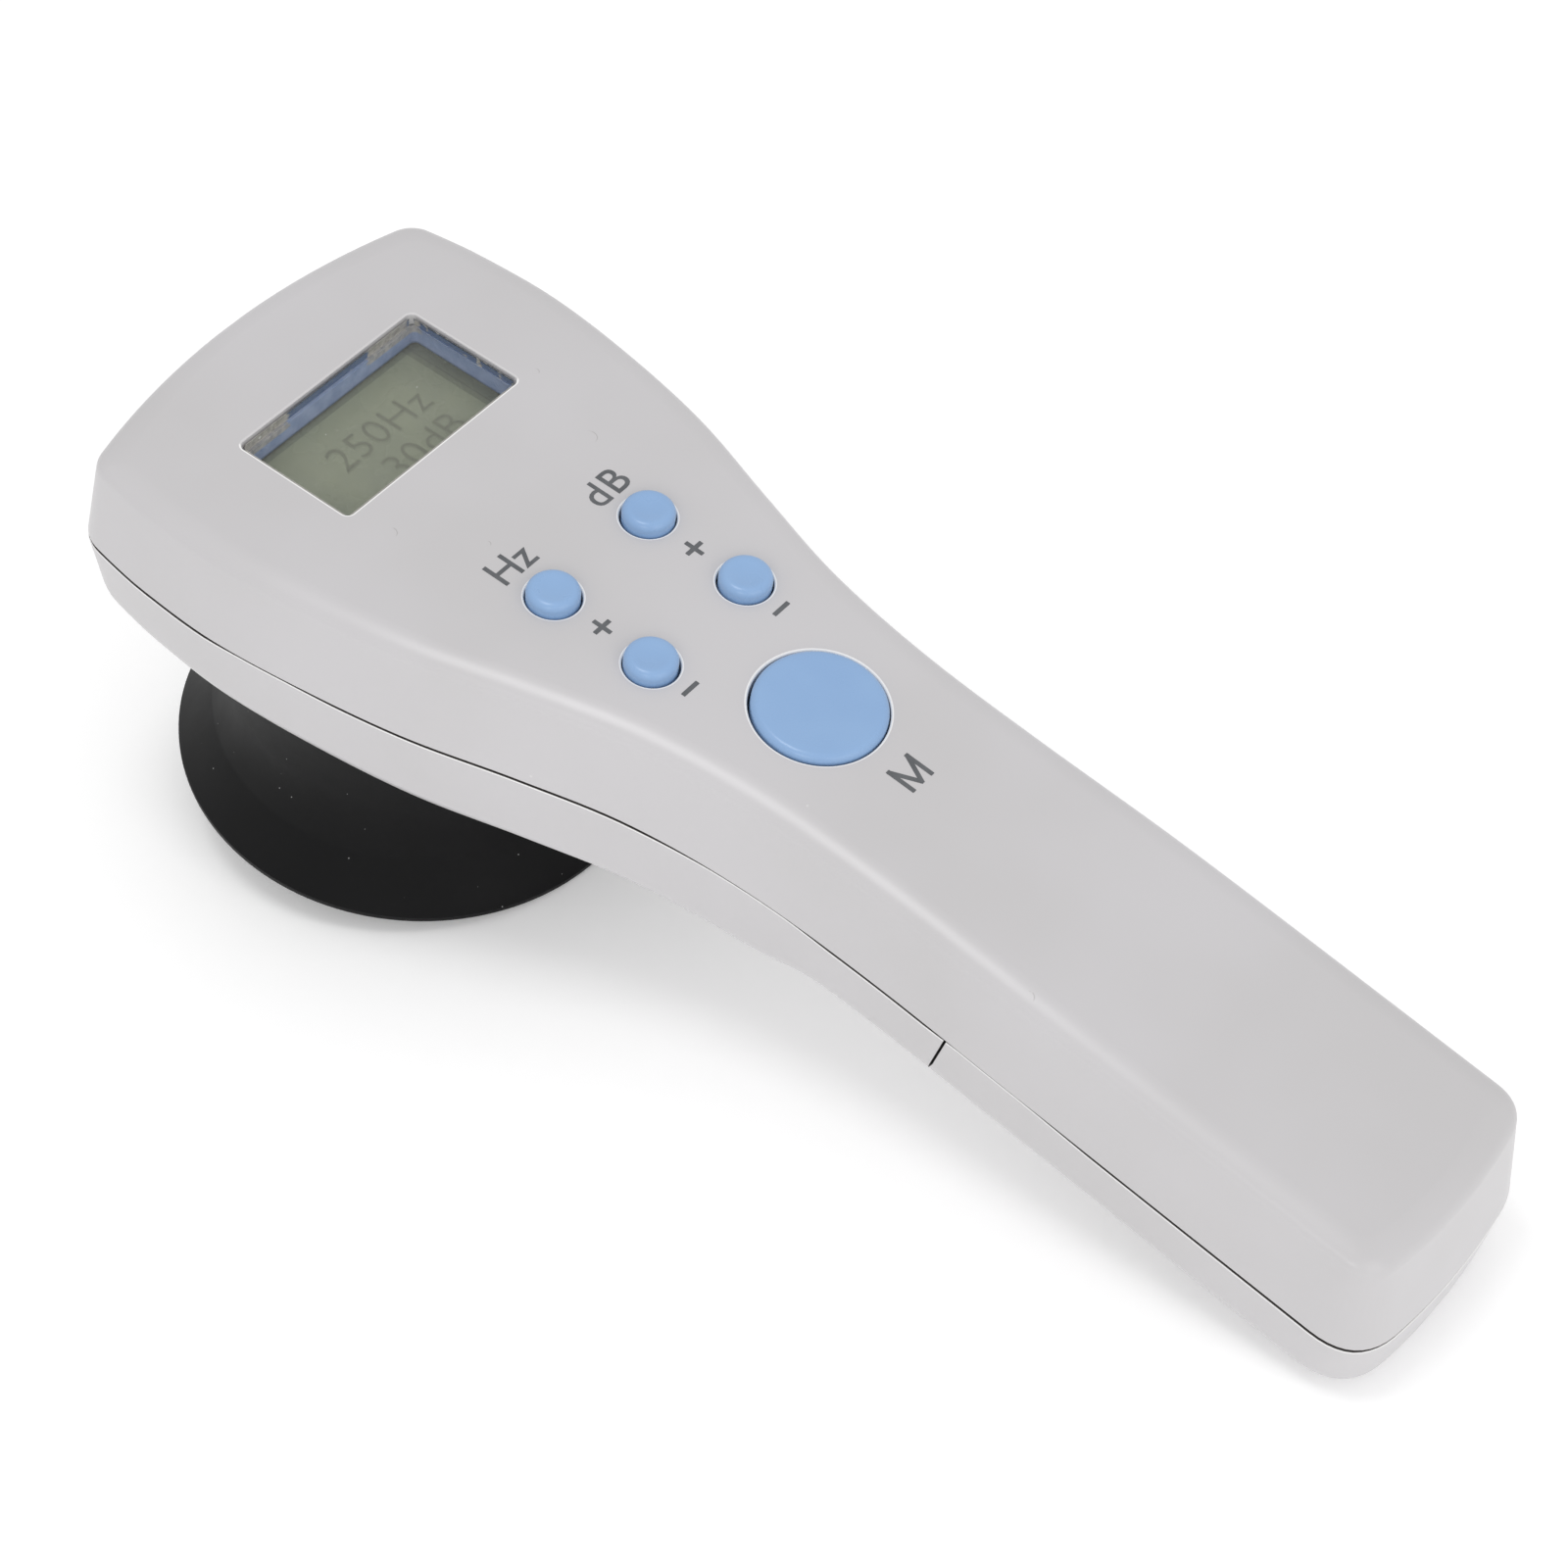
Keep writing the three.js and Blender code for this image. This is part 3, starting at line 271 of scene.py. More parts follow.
# Half of the casing's outline as [x, y] from the front to the end, some inset inside the widest
# one. The cut of its corners tapers off with the inset, down to a least share.
def outline(inset, taper):
    share = max(1 - taper * inset, casing["leastCut"])
    frontCut, endCut = casing["frontCut"] * share, casing["endCut"] * share
    inset += casing["slack"]
    front, end = casing["front"] + inset, casing["end"] - inset
    frontY = casing["headWidth"] / 2 - casing["cornerInset"] - inset
    endY = casing["gripWidth"] / 2 - inset
    frontShare, endShare = 1 - frontCut / frontY, 1 - endCut / endY
    sideStart = front + casing["frontBow"] + frontCut
    sideEnd = end - casing["endBow"] - endCut

    def curve(a, b, c, steps):
        shares = [k / steps for k in range(1, steps + 1)]
        return [
            [between(between(a[i], b[i], t), between(b[i], c[i], t), t) for i in (0, 1)] for t in shares
        ]

    frontKnee = [front + casing["frontBow"] * frontShare**2, frontY - frontCut]
    endKnee = [end - casing["endBow"] * endShare**2, endY - endCut]
    sideIn = [sideStart, halfWidthAt(sideStart) - inset]
    sideOut = [sideEnd, halfWidthAt(sideEnd) - inset]
    points = curve([front, 0], [front, (frontY - frontCut) / 2], frontKnee, 10)
    points += curve(frontKnee, [front + casing["frontBow"], frontY], sideIn, 10)
    sideSteps = 100
    for k in range(1, sideSteps + 1):
        x = between(sideStart, sideEnd, k / sideSteps)
        points.append([x, halfWidthAt(x) - inset])
    points += curve(sideOut, [end - casing["endBow"], endY], endKnee, 10)
    points += curve(endKnee, [end, (endY - endCut) / 2], [end, 0], 8)[:-1]
    return points


# Grows a closed form from a flat grid by extruding it from level to level. Each level is an
# inset and a height that depends on x. The grid's points are told apart by where they are, because
# extruding numbers them anew.
def growCasing(name, levels, taper=casing["upperCornerTaper"]):
    clearSelection()
    rings = []
    for inset, height in levels:
        half = outline(inset, taper)
        rings.append([(x, side * y, height(x)) for side in (-1, 1) for x, y in half])
    pairs = len(rings[0]) // 2
    bpy.ops.mesh.primitive_grid_add(x_subdivisions=pairs - 1, y_subdivisions=1, size=2)
    form = newest(name)
    rows = sorted(form.data.vertices, key=lambda point: (point.co.y > 0, point.co.x))
    order = [point.index for point in rows]
    for index, place in zip(order, rings[0]):
        form.data.vertices[index].co = Vector(place) * mm

    def spotOf(point):
        return tuple(round(c / mm, 4) for c in point.co)

    setMode("EDIT")
    bpy.ops.mesh.select_mode(type="FACE")
    selectAll()
    for ring in rings[1:]:
        bpy.ops.mesh.extrude_region_move()
        setMode("OBJECT")
        marks = {spotOf(form.data.vertices[i]): k for k, i in enumerate(order)}
        raised = [point for point in form.data.vertices if point.select]
        order = [0] * len(raised)
        for point in raised:
            order[marks[spotOf(point)]] = point.index
        for index, place in zip(order, ring):
            form.data.vertices[index].co = Vector(place) * mm
        setMode("EDIT")
    closeMesh()
    return form


# Levels of a rounded edge, from a wall that leans by some degrees up to the face above it.
def roundedTop(inset, radius, steps, face, lean=0):
    turns = [radians(between(lean, 90, k / steps)) for k in range(steps + 1)]
    return [
        (inset + radius * (1 - cos(a)), lambda x, a=a: face(x) - radius * (1 - sin(a)))
        for a in turns
    ]


# Levels of the ridge round the top: a tight turn up to some angle and a wide one after it.
def ridgeLevels():
    tight, wide, turned = casing["topRound"], casing["shoulder"], casing["shoulderFrom"]
    lowTurns = [between(radians(casing["upperLean"]), turned, k / 5) for k in range(5)]
    highTurns = [between(turned, pi / 2, k / 8) for k in range(9)]
    draft = casing["upperDraft"]
    drop = wide * (1 - sin(turned)) + tight * sin(turned)
    shift = draft - (wide - tight) * (1 - cos(turned))
    levels = [
        (draft + tight * (1 - cos(a)), lambda x, a=a: topAt(x) - drop + tight * sin(a))
        for a in lowTurns
    ]
    return levels + [
        (shift + wide * (1 - cos(a)), lambda x, a=a: topAt(x) - wide * (1 - sin(a)))
        for a in highTurns
    ]


def roundedBottom(inset, radius, steps, face, lean=0):
    mirrored = roundedTop(inset, radius, steps, lambda x: -face(x), lean)
    return [(level, lambda x, height=height: -height(x)) for level, height in reversed(mirrored)]


# The block that holds all on the grip's side of the battery cover's slanted front edge.
def addGripSide(offset):
    clearSelection()
    lean, half = casing["coverLean"], 110
    reach = half + offset
    bpy.ops.mesh.primitive_cube_add(
        size=2 * half * mm,
        rotation=(0, lean, 0),
        location=(
            (casing["coverFront"] + reach * cos(lean)) * mm,
            0,
            (seamAt(casing["coverFront"]) - reach * sin(lean)) * mm,
        ),
    )
    return newest("gripSide")


def frameAt(x, height, turn):
    return Matrix.Translation((x * mm, 0, height * mm)) @ Matrix.Rotation(turn, 4, "Y")


earX = -72.0
gripFrame = frameAt(bendEnd, topAt(bendEnd), casing["gripSlope"])
earFrame = frameAt(earX, floorAt(earX), casing["headPitch"])


def putIn(place, piece):
    piece.matrix_world = place @ piece.matrix_world
    return piece


# A round body about the Z axis, spun from [radius, height] points.
def spinPiece(name, profile, steps):
    clearSelection()
    bpy.ops.mesh.primitive_plane_add(size=mm)
    piece = newest(name)
    setMode("EDIT")
    bpy.ops.mesh.select_mode(type="VERT")
    selectAll()
    bpy.ops.mesh.merge(type="CENTER")
    radius, height = profile[0]
    bpy.ops.transform.translate(value=(radius * mm, 0, height * mm))
    for (r0, z0), (r1, z1) in zip(profile, profile[1:]):
        extrude(r1 - r0, 0, z1 - z0)
    selectAll()
    bpy.ops.mesh.spin(steps=steps, angle=2 * pi, center=(0, 0, 0), axis=(0, 0, 1))
    selectAll()
    bpy.ops.mesh.remove_doubles(threshold=0.002 * mm)
    closeMesh()
    return piece


def arc(centre, radius, start, stop, steps):
    turns = [radians(between(start, stop, k / steps)) for k in range(steps + 1)]
    return [(centre[0] + radius * cos(a), centre[1] + radius * sin(a)) for a in turns]


# One socket of a shader, so that its maths is written as plain sums. Its method node adds any
# other node, with its settings first and then the values or links of its sockets.
class Shade:
    def __init__(self, tree, socket=None):
        self.tree = tree
        self.socket = socket

    def node(self, kind, inputs=None, output=0, **settings):
        made = self.tree.nodes.new(kind)
        for key, value in settings.items():
            setattr(made, key, value)
        for key, value in (inputs or {}).items():
            if isinstance(value, Shade):
                self.tree.links.new(value.socket, made.inputs[key])
            else:
                made.inputs[key].default_value = value
        return Shade(self.tree, made.outputs[output])

    def sum(self, operation, a, b):
        return self.node("ShaderNodeMath", {0: a, 1: b}, operation=operation)

    def __add__(self, other):
        return self.sum("ADD", self, other)

    def __sub__(self, other):
        return self.sum("SUBTRACT", self, other)

    def __rsub__(self, other):
        return self.sum("SUBTRACT", other, self)

    def __mul__(self, other):
        return self.sum("MULTIPLY", self, other)

    __radd__ = __add__
    __rmul__ = __mul__

    def __pow__(self, other):
        return self.sum("POWER", self, other)

    def __abs__(self):
        return self.sum("ABSOLUTE", self, 0)

    def most(self, other):
        return self.sum("MAXIMUM", self, other)

    def least(self, other):
        return self.sum("MINIMUM", self, other)

    def axis(self, k):
        return self.node("ShaderNodeSeparateXYZ", {0: self}, output=k)

    def over(self, low, high):
        settings = {"Value": self, "From Min": low, "From Max": high}
        return self.node("ShaderNodeMapRange", settings, clamp=True, interpolation_type="SMOOTHSTEP")

    def noise(self, scale, detail):
        return self.node("ShaderNodeTexNoise", {"Vector": self, "Scale": scale, "Detail": detail})

    def cells(self, scale, output="Distance", **settings):
        return self.node("ShaderNodeTexVoronoi", {"Vector": self, "Scale": scale}, output, **settings)

    def mixed(self, factor, a, b):
        inputs = {0: factor, 6: a, 7: b}
        return self.node("ShaderNodeMix", inputs, output=2, data_type="RGBA")

    # Two colours that change over into each other in soft clouds.
    def cloudy(self, scale, detail, a, b, low=0.3, high=0.7):
        return self.mixed(self.noise(scale, detail).over(low, high), tint(*a), tint(*b))

    # This colour with another one over it where the mask is 1.
    def painted(self, mask, *colour):
        return self.mixed(mask, self, tint(*colour))

    def bumped(self, height, distance, strength=1.0, below=None):
        inputs = {"Height": height, "Distance": distance * mm, "Strength": strength}
        if below:
            inputs["Normal"] = below
        return self.node("ShaderNodeBump", inputs)


# Turns screen values 0 to 255 into the linear colour that a shader takes.
def tint(*levels):
    shares = [level / 255 for level in levels]
    return (*[s / 12.92 if s <= 0.04045 else ((s + 0.055) / 1.055) ** 2.4 for s in shares], 1.0)


# A new material with its shader's fixed values, and its Object coordinates to paint with.
def newFinish(name, **fixed):
    finish = bpy.data.materials.new(name)
    finish.use_nodes = True
    tree = finish.node_tree
    shader = tree.nodes["Principled BSDF"]
    for key, value in fixed.items():
        shader.inputs[key.replace("_", " ")].default_value = value
    place = Shade(tree).node("ShaderNodeTexCoord", output="Object")
    return finish, shader, place


def wire(shader, **links):
    for key, shade in links.items():
        shader.id_data.links.new(shade.socket, shader.inputs[key.replace("_", " ")])


# Rare small specks, 1 on each speck and 0 elsewhere. Only a share of the pattern's cells has one.
def specks(place, scale, size, share):
    chance = place.cells(scale, "Color")
    rare = place.node("ShaderNodeSeparateColor", {0: chance}).over(share, share * 0.98)
    return place.cells(scale).over(size, size * 0.5) * rare


def away(x, y, spotX, spotY):
    return ((x - spotX) * (x - spotX) + (y - spotY) * (y - spotY)) ** 0.5


print("stage: finishes")

casingLook = {
    "colours": [(199, 197, 199), (194, 192, 193)],
    "dust": (232, 231, 230),
    "scuff": (150, 147, 145),
    # dirt and painted shade in the joints between the shells
    "grimeAndShade": (58, 54, 50),
    # colour of the painted highlights on rounded edges
    "rim": (246, 245, 244),
    "grainScale": 1000 / 0.35,
    "grainHeight": 0.004,
}
scuffs = [  # x, y, radius, line width, share of the circle that shows
    (-54.9, 16.0, 1.3, 0.09, 0.3),
    (-63.4, -16.6, 1.1, 0.1, 0.25),
    (-69.1, 20.9, 0.6, 0.08, 0.2),
    (48.8, -17.0, 0.8, 0.12, 0.25),
    (-52.0, -9.0, 0.5, 0.08, 0.2),
]
# The holes of the buttons as x, y, radius and edge round.
holes = [(x, y, 4.1, 0.32) for y in (-10.15, 10.15) for x in (-38.9, -21.3)] + [(0.0, 0.0, 9.85, 0.4)]


# The pattern's place in the part's own axes, in millimetres.
def partPlace(place):
    back = Matrix.Scale(1 / mm, 4) @ stand.inverted()
    inputs = {"Vector": place, "Rotation": back.to_euler(), "Location": back.to_translation()}
    return place.node("ShaderNodeMapping", {**inputs, "Scale": (1 / mm, 1 / mm, 1 / mm)})


# Painted highlights: bright lines round the holes and the window, where their rounded edges would catch
# the light. The window's front and left edges get a weaker painted highlight.
def paintedRimHighlights(own):
    x, y = own.axis(0), own.axis(1)
    corner = window["corner"]
    overX, overY = [(corner - insideWindow(own, k)).most(0) for k in (0, 1)]
    outside = away(overX, overY, 0, 0) - corner
    halfLength, halfWidth = (window[key] / 2 - 0.5 for key in ("length", "width"))
    side = (x - window["x"]).over(halfLength, halfLength + 0.3)
    side = side.most((0 - y).over(halfWidth, halfWidth + 0.3))
    lines = abs(outside - 0.14).over(0.22, 0.12) * (side * 0.75 + 0.2)
    for holeX, holeY, radius, edge in holes:
        ring = abs(away(x, y, holeX, holeY) - radius - edge * 0.5)
        lines = lines.most(ring.over(0.24, 0.12) * 0.85)
    return lines * own.axis(2).over(-4.5, -4)


def makeCasingFinish():
    look = casingLook
    finish, shader, place = newFinish("casingPlastic", Specular_IOR_Level=0.5)
    colour = place.cloudy(22, 3, *look["colours"])
    colour = colour.painted(specks(place, 130, 0.035, 0.08) * 0.3, *look["dust"])
    own = partPlace(place)
    x, y = own.axis(0), own.axis(1)
    worn = own.noise(0.9, 1).over(0.3, 0.5)
    for scuffX, scuffY, radius, width, share in scuffs:
        ring = abs(away(x, y, scuffX, scuffY) - radius).over(width, width * 0.4)
        side = (y - scuffY + (x - scuffX) * 0.5).over(radius * (0.9 - 2 * share), radius)
        colour = colour.painted(ring * side * worn * 0.5, *look["scuff"])
    # Joint faces are painted dark, for dirt and for the shade that falls in the gaps between the shells.
    grimeAndShade = place.node("ShaderNodeAttribute", output="Fac", attribute_name="grimeAndShade")
    colour = colour.painted(grimeAndShade * 0.95, *look["grimeAndShade"])
    # Painted highlights on rounded edges: the lower shells' marked rim faces, and lines round the holes
    # and window.
    rim = place.node("ShaderNodeAttribute", output="Fac", attribute_name="rim") * 0.8
    colour = colour.painted(rim.most(paintedRimHighlights(own)), *look["rim"])
    rough = place.noise(60, 2) * 0.08 + grimeAndShade * 0.3 + 0.27
    fine = place.bumped(place.noise(look["grainScale"], 2), look["grainHeight"])
    bump = place.bumped(place.noise(30, 1), 0.02, 0.5, fine)
    wire(shader, Base_Color=colour, Roughness=rough, Normal=bump)
    return finish


def makeKeyFinish():
    finish, shader, place = newFinish("keyPlastic", Specular_IOR_Level=0.45)
    colour = place.cloudy(90, 2, (136, 169, 210), (140, 173, 213))
    rough = place.noise(300, 2) * 0.08 + 0.24
    wire(shader, Base_Color=colour, Roughness=rough, Normal=place.bumped(place.noise(2600, 2), 0.002))
    return finish


def makeCushionFinish():
    finish, shader, place = newFinish("cushionRubber", Specular_IOR_Level=0.14)
    colour = place.cloudy(50, 4, (11, 11, 12), (16, 16, 17), 0.25, 0.75)
    lint = specks(place, 480, 0.055, 0.7)
    turned = {"Vector": place, "Rotation": (0.4, 0.7, 0.3), "Scale": (1, 0.25, 1)}
    hairs = specks(place.node("ShaderNodeMapping", turned), 200, 0.03, 0.035)
    colour = colour.painted(lint * 0.7 + hairs * 0.35, 205, 205, 205)
    rough = place.noise(140, 3) * 0.14 + 0.4
    wire(shader, Base_Color=colour, Roughness=rough, Normal=place.bumped(place.noise(1800, 2), 0.005))
    return finish


def makePlainFinish(name, colours, rough, grain=900, height=0.004, spread=80, metal=0.0):
    finish, shader, place = newFinish(name, Metallic=metal)
    roughness = place.noise(spread * 3, 2) * 0.12 + (rough - 0.06)
    bump = place.bumped(place.noise(grain, 2), height)
    wire(shader, Base_Color=place.cloudy(spread, 3, *colours), Roughness=roughness, Normal=bump)
    return finish


window = {"x": -80.15, "length": 21.0, "width": 36.4, "corner": 1.15, "edge": 0.22}
pane = {"gap": 0.3, "top": -0.5, "low": -1.9, "corner": 1.1, "edge": 0.12, "glueEdge": 0.14}
foam = {
    "top": -2.3,
    "step": -4.7,
    "low": -5.5,
    "rim": 3.0,
    "lowRim": 1.9,
    "lip": 0.6,
    "corner": 0.6,
    "holeCorner": 0.9,
    "overlap": 0.2,
}
panel = {
    "top": -5.6,
    "low": -7.2,
    "margin": 2.0,
    # widths of the painted shadow along the window's walls, on the x and y sides
    "borders": (1.6, 2.7),
    "film": 0.25,
    "filmMargin": 0.9,
    "edge": 0.08,
}


# How far inside the window's edge a place is, along one axis.
def insideWindow(own, axis):
    middle, span = (window["x"], window["length"]) if axis == 0 else (0, window["width"])
    return span / 2 - abs(own.axis(axis) - middle)


# The pane is clear, but its side walls are milky with glue, and where glue lacks they carry a painted
# reflection of the blue foam.
def makePaneFinish():
    finish, shader, place = newFinish("clearPane", Roughness=0.06, IOR=1.49)
    own = partPlace(place)
    x, y = own.axis(0), own.axis(1)
    inside = insideWindow(own, 0).least(insideWindow(own, 1))
    wall = inside.over(pane["gap"] + pane["glueEdge"] * 1.2, pane["gap"] + pane["glueEdge"] * 0.5)
    ripple = own.noise(0.8, 3) * 3
    front = x.over(window["x"] - 8, window["x"] - 9)
    bare = abs(y - 0.2 + ripple - 1.5).over(8.6, 8.1) * front
    bare = bare.most(y.over(16.5, 17.4) * own.noise(0.5, 2).over(0.38, 0.44))
    upper = own.axis(2).over(pane["top"] - 0.5, pane["top"] - 0.25)
    glue = own.cloudy(1.4, 3, (186, 182, 176), (158, 155, 150), 0.35)
    # Where glue lacks: a painted reflection of the blue foam, painted darker near the pane's top.
    walls = place.mixed(bare, glue, place.mixed(upper, tint(94, 112, 146), tint(50, 58, 74)))
    blobs = specks(own, 0.55, 0.2, 0.3) * wall
    dust = specks(own, 0.42, 0.045, 0.2) * (1 - wall)
    colour = place.mixed(wall, tint(240, 242, 240), walls).painted(blobs, 226, 226, 222)
    smear = own.noise(0.12, 3).over(0.5, 0.8) * 0.012
    wire(shader, Base_Color=colour, Alpha=wall * 0.92 + dust * 0.75 + smear + 0.02)
    finish.surface_render_method = "DITHERED"
    return finish


# Pale blue foam, with glue on its upper part at both ends of the front wall.
def makeFoamFinish():
    finish, shader, place = newFinish("gasketFoam", Roughness=0.85)
    own = partPlace(place)
    colour = place.cloudy(400, 3, (132, 150, 184), (152, 167, 198))
    ends = abs(own.axis(1) - 1.3 + own.noise(0.8, 3) * 3).over(8.1, 8.6)
    front = own.axis(0).over(window["x"] - 8, window["x"] - 9)
    glued = own.axis(2).over(-3.5, -3.2) * ends * front
    glue = own.cloudy(1.1, 3, (182, 178, 172), (150, 150, 150), 0.35)
    colour = place.mixed(glued * 0.9, colour, glue)
    # The foam gets darker towards its foot, next to the panel.
    colour = colour.painted(own.axis(2).over(-5.0, -5.4) * 0.6, 70, 78, 92)
    wire(shader, Base_Color=colour, Normal=place.bumped(place.noise(1500, 2), 0.05))
    return finish


def makePanelFinish():
    finish, shader, place = newFinish("displayPanel", Roughness=0.3, Specular_IOR_Level=0.3)
    own = partPlace(place)
    colour = own.cloudy(0.12, 2, (131, 136, 117), (126, 131, 114))
    # Along the window's walls the panel gets a painted shadow, and two thin painted reflection lines of
    # the foam and frame.
    for axis, border in enumerate(panel["borders"]):
        inside = insideWindow(own, axis)
        shade = inside.over(border, border - 0.2) * 0.4 + inside.over(border, border - 2.2) * 0.3
        colour = colour.painted(shade, 76, 78, 72)
        line = abs(inside - border).over(0.16, 0.06) + abs(inside - border + 0.9).over(0.14, 0.05)
        colour = colour.painted(line * 0.35, 60, 61, 58)
    colour = colour.painted(specks(own, 0.5, 0.05, 0.1) * 0.5, 215, 215, 205)
    wire(shader, Base_Color=colour, Roughness=own.noise(0.2, 2) * 0.1 + 0.22)
    return finish


def makeBoardFinish():
    finish, shader, place = newFinish("boardLaminate", Roughness=0.45)
    grid = place.node("ShaderNodeMapping", {"Vector": place, "Scale": (1, 1, 0.02)})
    tracks = grid.cells(240, distance="MANHATTAN", feature="F1").over(0.32, 0.36)
    pads = grid.cells(160).over(0.13, 0.1)
    colour = place.mixed(tracks, tint(24, 92, 52), tint(38, 118, 68)).painted(pads, 188, 170, 110)
    wire(shader, Base_Color=colour, Roughness=0.5 - pads * 0.2, Normal=place.bumped(tracks, 0.02))
    return finish


# The sleeve round each cell: dark, with a pale band near one end.
def makeCellFinish():
    finish, shader, place = newFinish("cellJacket")
    cloud = place.noise(160, 3).over(0.3, 0.7)
    own = partPlace(place)
    band = own.axis(0).over(62, 62.4) - own.axis(0).over(76, 76.4)
    colour = place.mixed(cloud, tint(52, 56, 62), tint(62, 66, 73)).painted(band, 190, 176, 138)
    rough = cloud * 0.1 + 0.28
    wire(shader, Base_Color=colour, Roughness=rough, Normal=place.bumped(place.noise(700, 2), 0.01))
    return finish


finishes = {
    "casing_plastic": makeCasingFinish(),
    "key_plastic": makeKeyFinish(),
    "cushion_rubber": makeCushionFinish(),
    "clear_pane": makePaneFinish(),
    "gasket_foam": makeFoamFinish(),
    "display_panel": makePanelFinish(),
    "dark_plastic": makePlainFinish("darkPlastic", [(38, 38, 40), (48, 48, 50)], 0.55),
    "pale_rubber": makePlainFinish("paleRubber", [(206, 196, 178), (222, 212, 194)], 0.6),
    "connector_plastic": makePlainFinish("connectorPlastic", [(226, 222, 208), (236, 232, 220)], 0.45),
    "board_laminate": makeBoardFinish(),
    "plated_steel": makePlainFinish(
        "platedSteel", [(196, 196, 194), (170, 170, 168)], 0.28, 600, 0.01, 200, 1.0
    ),
    "screw_steel": makePlainFinish(
        "screwSteel", [(150, 150, 152), (120, 120, 122)], 0.35, 900, 0.01, 300, 1.0
    ),
    "cell_jacket": makeCellFinish(),
    "red_sleeve": makePlainFinish("redSleeve", [(160, 34, 28), (176, 44, 36)], 0.45),
    "black_sleeve": makePlainFinish("blackSleeve", [(24, 24, 25), (34, 34, 35)], 0.45),
}
markInk = makePlainFinish("markInk", [(86, 88, 91), (95, 97, 100)], 0.6, 1200, 0.003, 500)
readingInk = makePlainFinish("readingInk", [(103, 106, 91), (107, 110, 94)], 0.4, 1200, 0.001, 500)
# ink of the digits' painted shadow
paintedShadowInk = makePlainFinish("paintedShadowInk", [(117, 122, 104), (114, 119, 102)], 0.4, 1200, 0.001, 500)

slotOf = {part["node"]: part["material_slot"] for part in frame["record"]["subparts"]}
for name, node in frame["nodes"].items():
    node.data.materials.clear()
    node.data.materials.append(finishes[slotOf[name]])


# Stands a finished piece, gives it its finish, hangs it on its body and hides the parts that it
# replaces.
def settle(piece, slot, replaces=(), body="housing", finish=None, smooth=30, weighted=False):
    takeUp(piece)
    piece.matrix_world = stand @ piece.matrix_world
    bakePlace(piece)
    bpy.ops.object.shade_smooth_by_angle(angle=radians(smooth))
    if weighted:
        applyModifier(piece, "WEIGHTED_NORMAL", mode="FACE_AREA", weight=50, keep_sharp=True)
    piece.data.materials.clear()
    piece.data.materials.append(finish or finishes[slot])
    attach(piece, body)
    if replaces:
        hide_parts(*replaces)
    return piece


# Marks faces for the casing's finish: faces inside a joint between two shells, painted dark for the dirt
# and the shade that gather there, and "rim" on an edge, painted with a highlight where it catches the
# light.
def markFaces(piece, name, test):
    layer = piece.data.attributes.new(name, "FLOAT", "FACE")
    for face, entry in zip(piece.data.polygons, layer.data):
        entry.value = float(test(face.center / mm, face.normal))


# Gives every point of the top face the smooth face's own direction, so that no cut shows in its gloss.
def evenTop(piece):
    mesh = piece.data
    back, turn = stand.inverted(), stand.to_3x3()
    spots = [back @ point.co / mm for point in mesh.vertices]
    aims = [Vector(corner.vector) for corner in mesh.corner_normals]
    for k, corner in enumerate(mesh.loops):
        spot = spots[corner.vertex_index]
        if abs(spot.z - topAt(spot.x)) < 0.02:
            aims[k] = turn @ Vector((fallAt(spot.x), 0, 1)).normalized()
    mesh.normals_split_custom_set(aims)


print("stage: shells")

bosses = {
    "housing": [(-99.6, 29.0), (16.0, 12.5)],  # each has a twin at -y
    "board": [(-58.0, 26.1), (-12.0, 16.6)],
    "housingDiameter": 7.0,
    "housingHole": 3.0,
    "housingDepth": 14.3,
    "recess": 5.6,
    "recessDepth": 5.0,
    "recessEdge": 0.2,
    "smallDiameter": 5.4,
    "smallHole": 2.5,
    "smallDepth": 6.3,
    "boardTop": -12.5,
    "boardLow": -14.1,
    "trayScrews": (-23.98, 29.52),
    "trayTop": -11.5,
    "trayFloor": -13.0,
}
coverRails = {
    "start": -19.98,
    "end": 41.52,
    "inside": 16.8,
    "outside": 19.15,
    "low": -20.5,
    "high": -19.5,
}
earSeat = {"spigot": 54.6, "bore": 50.6, "depth": 6.0}
past = 2.0  # how far a cutter passes the surface that it cuts


def twins(marks):
    return [(x, side * y) for x, y in marks for side in (-1, 1)]


# Upright posts at the marks and their twins, between two heights that depend on x.
def addPosts(marks, diameter, low, high):
    return [addPost(x, y, diameter, low(x), high(x)) for x, y in twins(marks)]


# Posts of the tray's screws, which stand square to the grip.
def addTrayPosts(diameter, low, high):
    return [putIn(gripFrame, addPost(x, 0, diameter, low, high)) for x in bosses["trayScrews"]]


# A closed block in the casing's outline, between two heights over or under the seam.
def addSeamBand(name, inset, low, high):
    return growCasing(name, [(inset, lambda x, rise=rise: seamAt(x) + rise) for rise in (low, high)])


# A closed upright block with rounded corners, about the window's middle if no place is given.
def addRoundedSlab(name, length, width, corner, low, high, x=window["x"], segments=8):
    clearSelection()
    bpy.ops.mesh.primitive_plane_add(size=1, location=(x * mm, 0, low * mm))
    slab = newest(name)
    slab.scale = (length * mm, width * mm, 1)
    bakePlace(slab)
    setMode("EDIT")
    selectAll()
    bpy.ops.mesh.bevel(offset=corner * mm, segments=segments, affect="VERTICES")
    selectAll()
    extrude(0, 0, high - low)
    closeMesh()
    return slab


# Rounds the edges that pass the test.
def roundEdges(piece, test, radius):
    points = piece.data.vertices
    pick(piece, "EDGE", lambda edge: all(test(points[k].co / mm) for k in edge.vertices))
    bpy.ops.mesh.bevel(offset=radius * mm, segments=3, affect="EDGES", clamp_overlap=False)
    setMode("OBJECT")


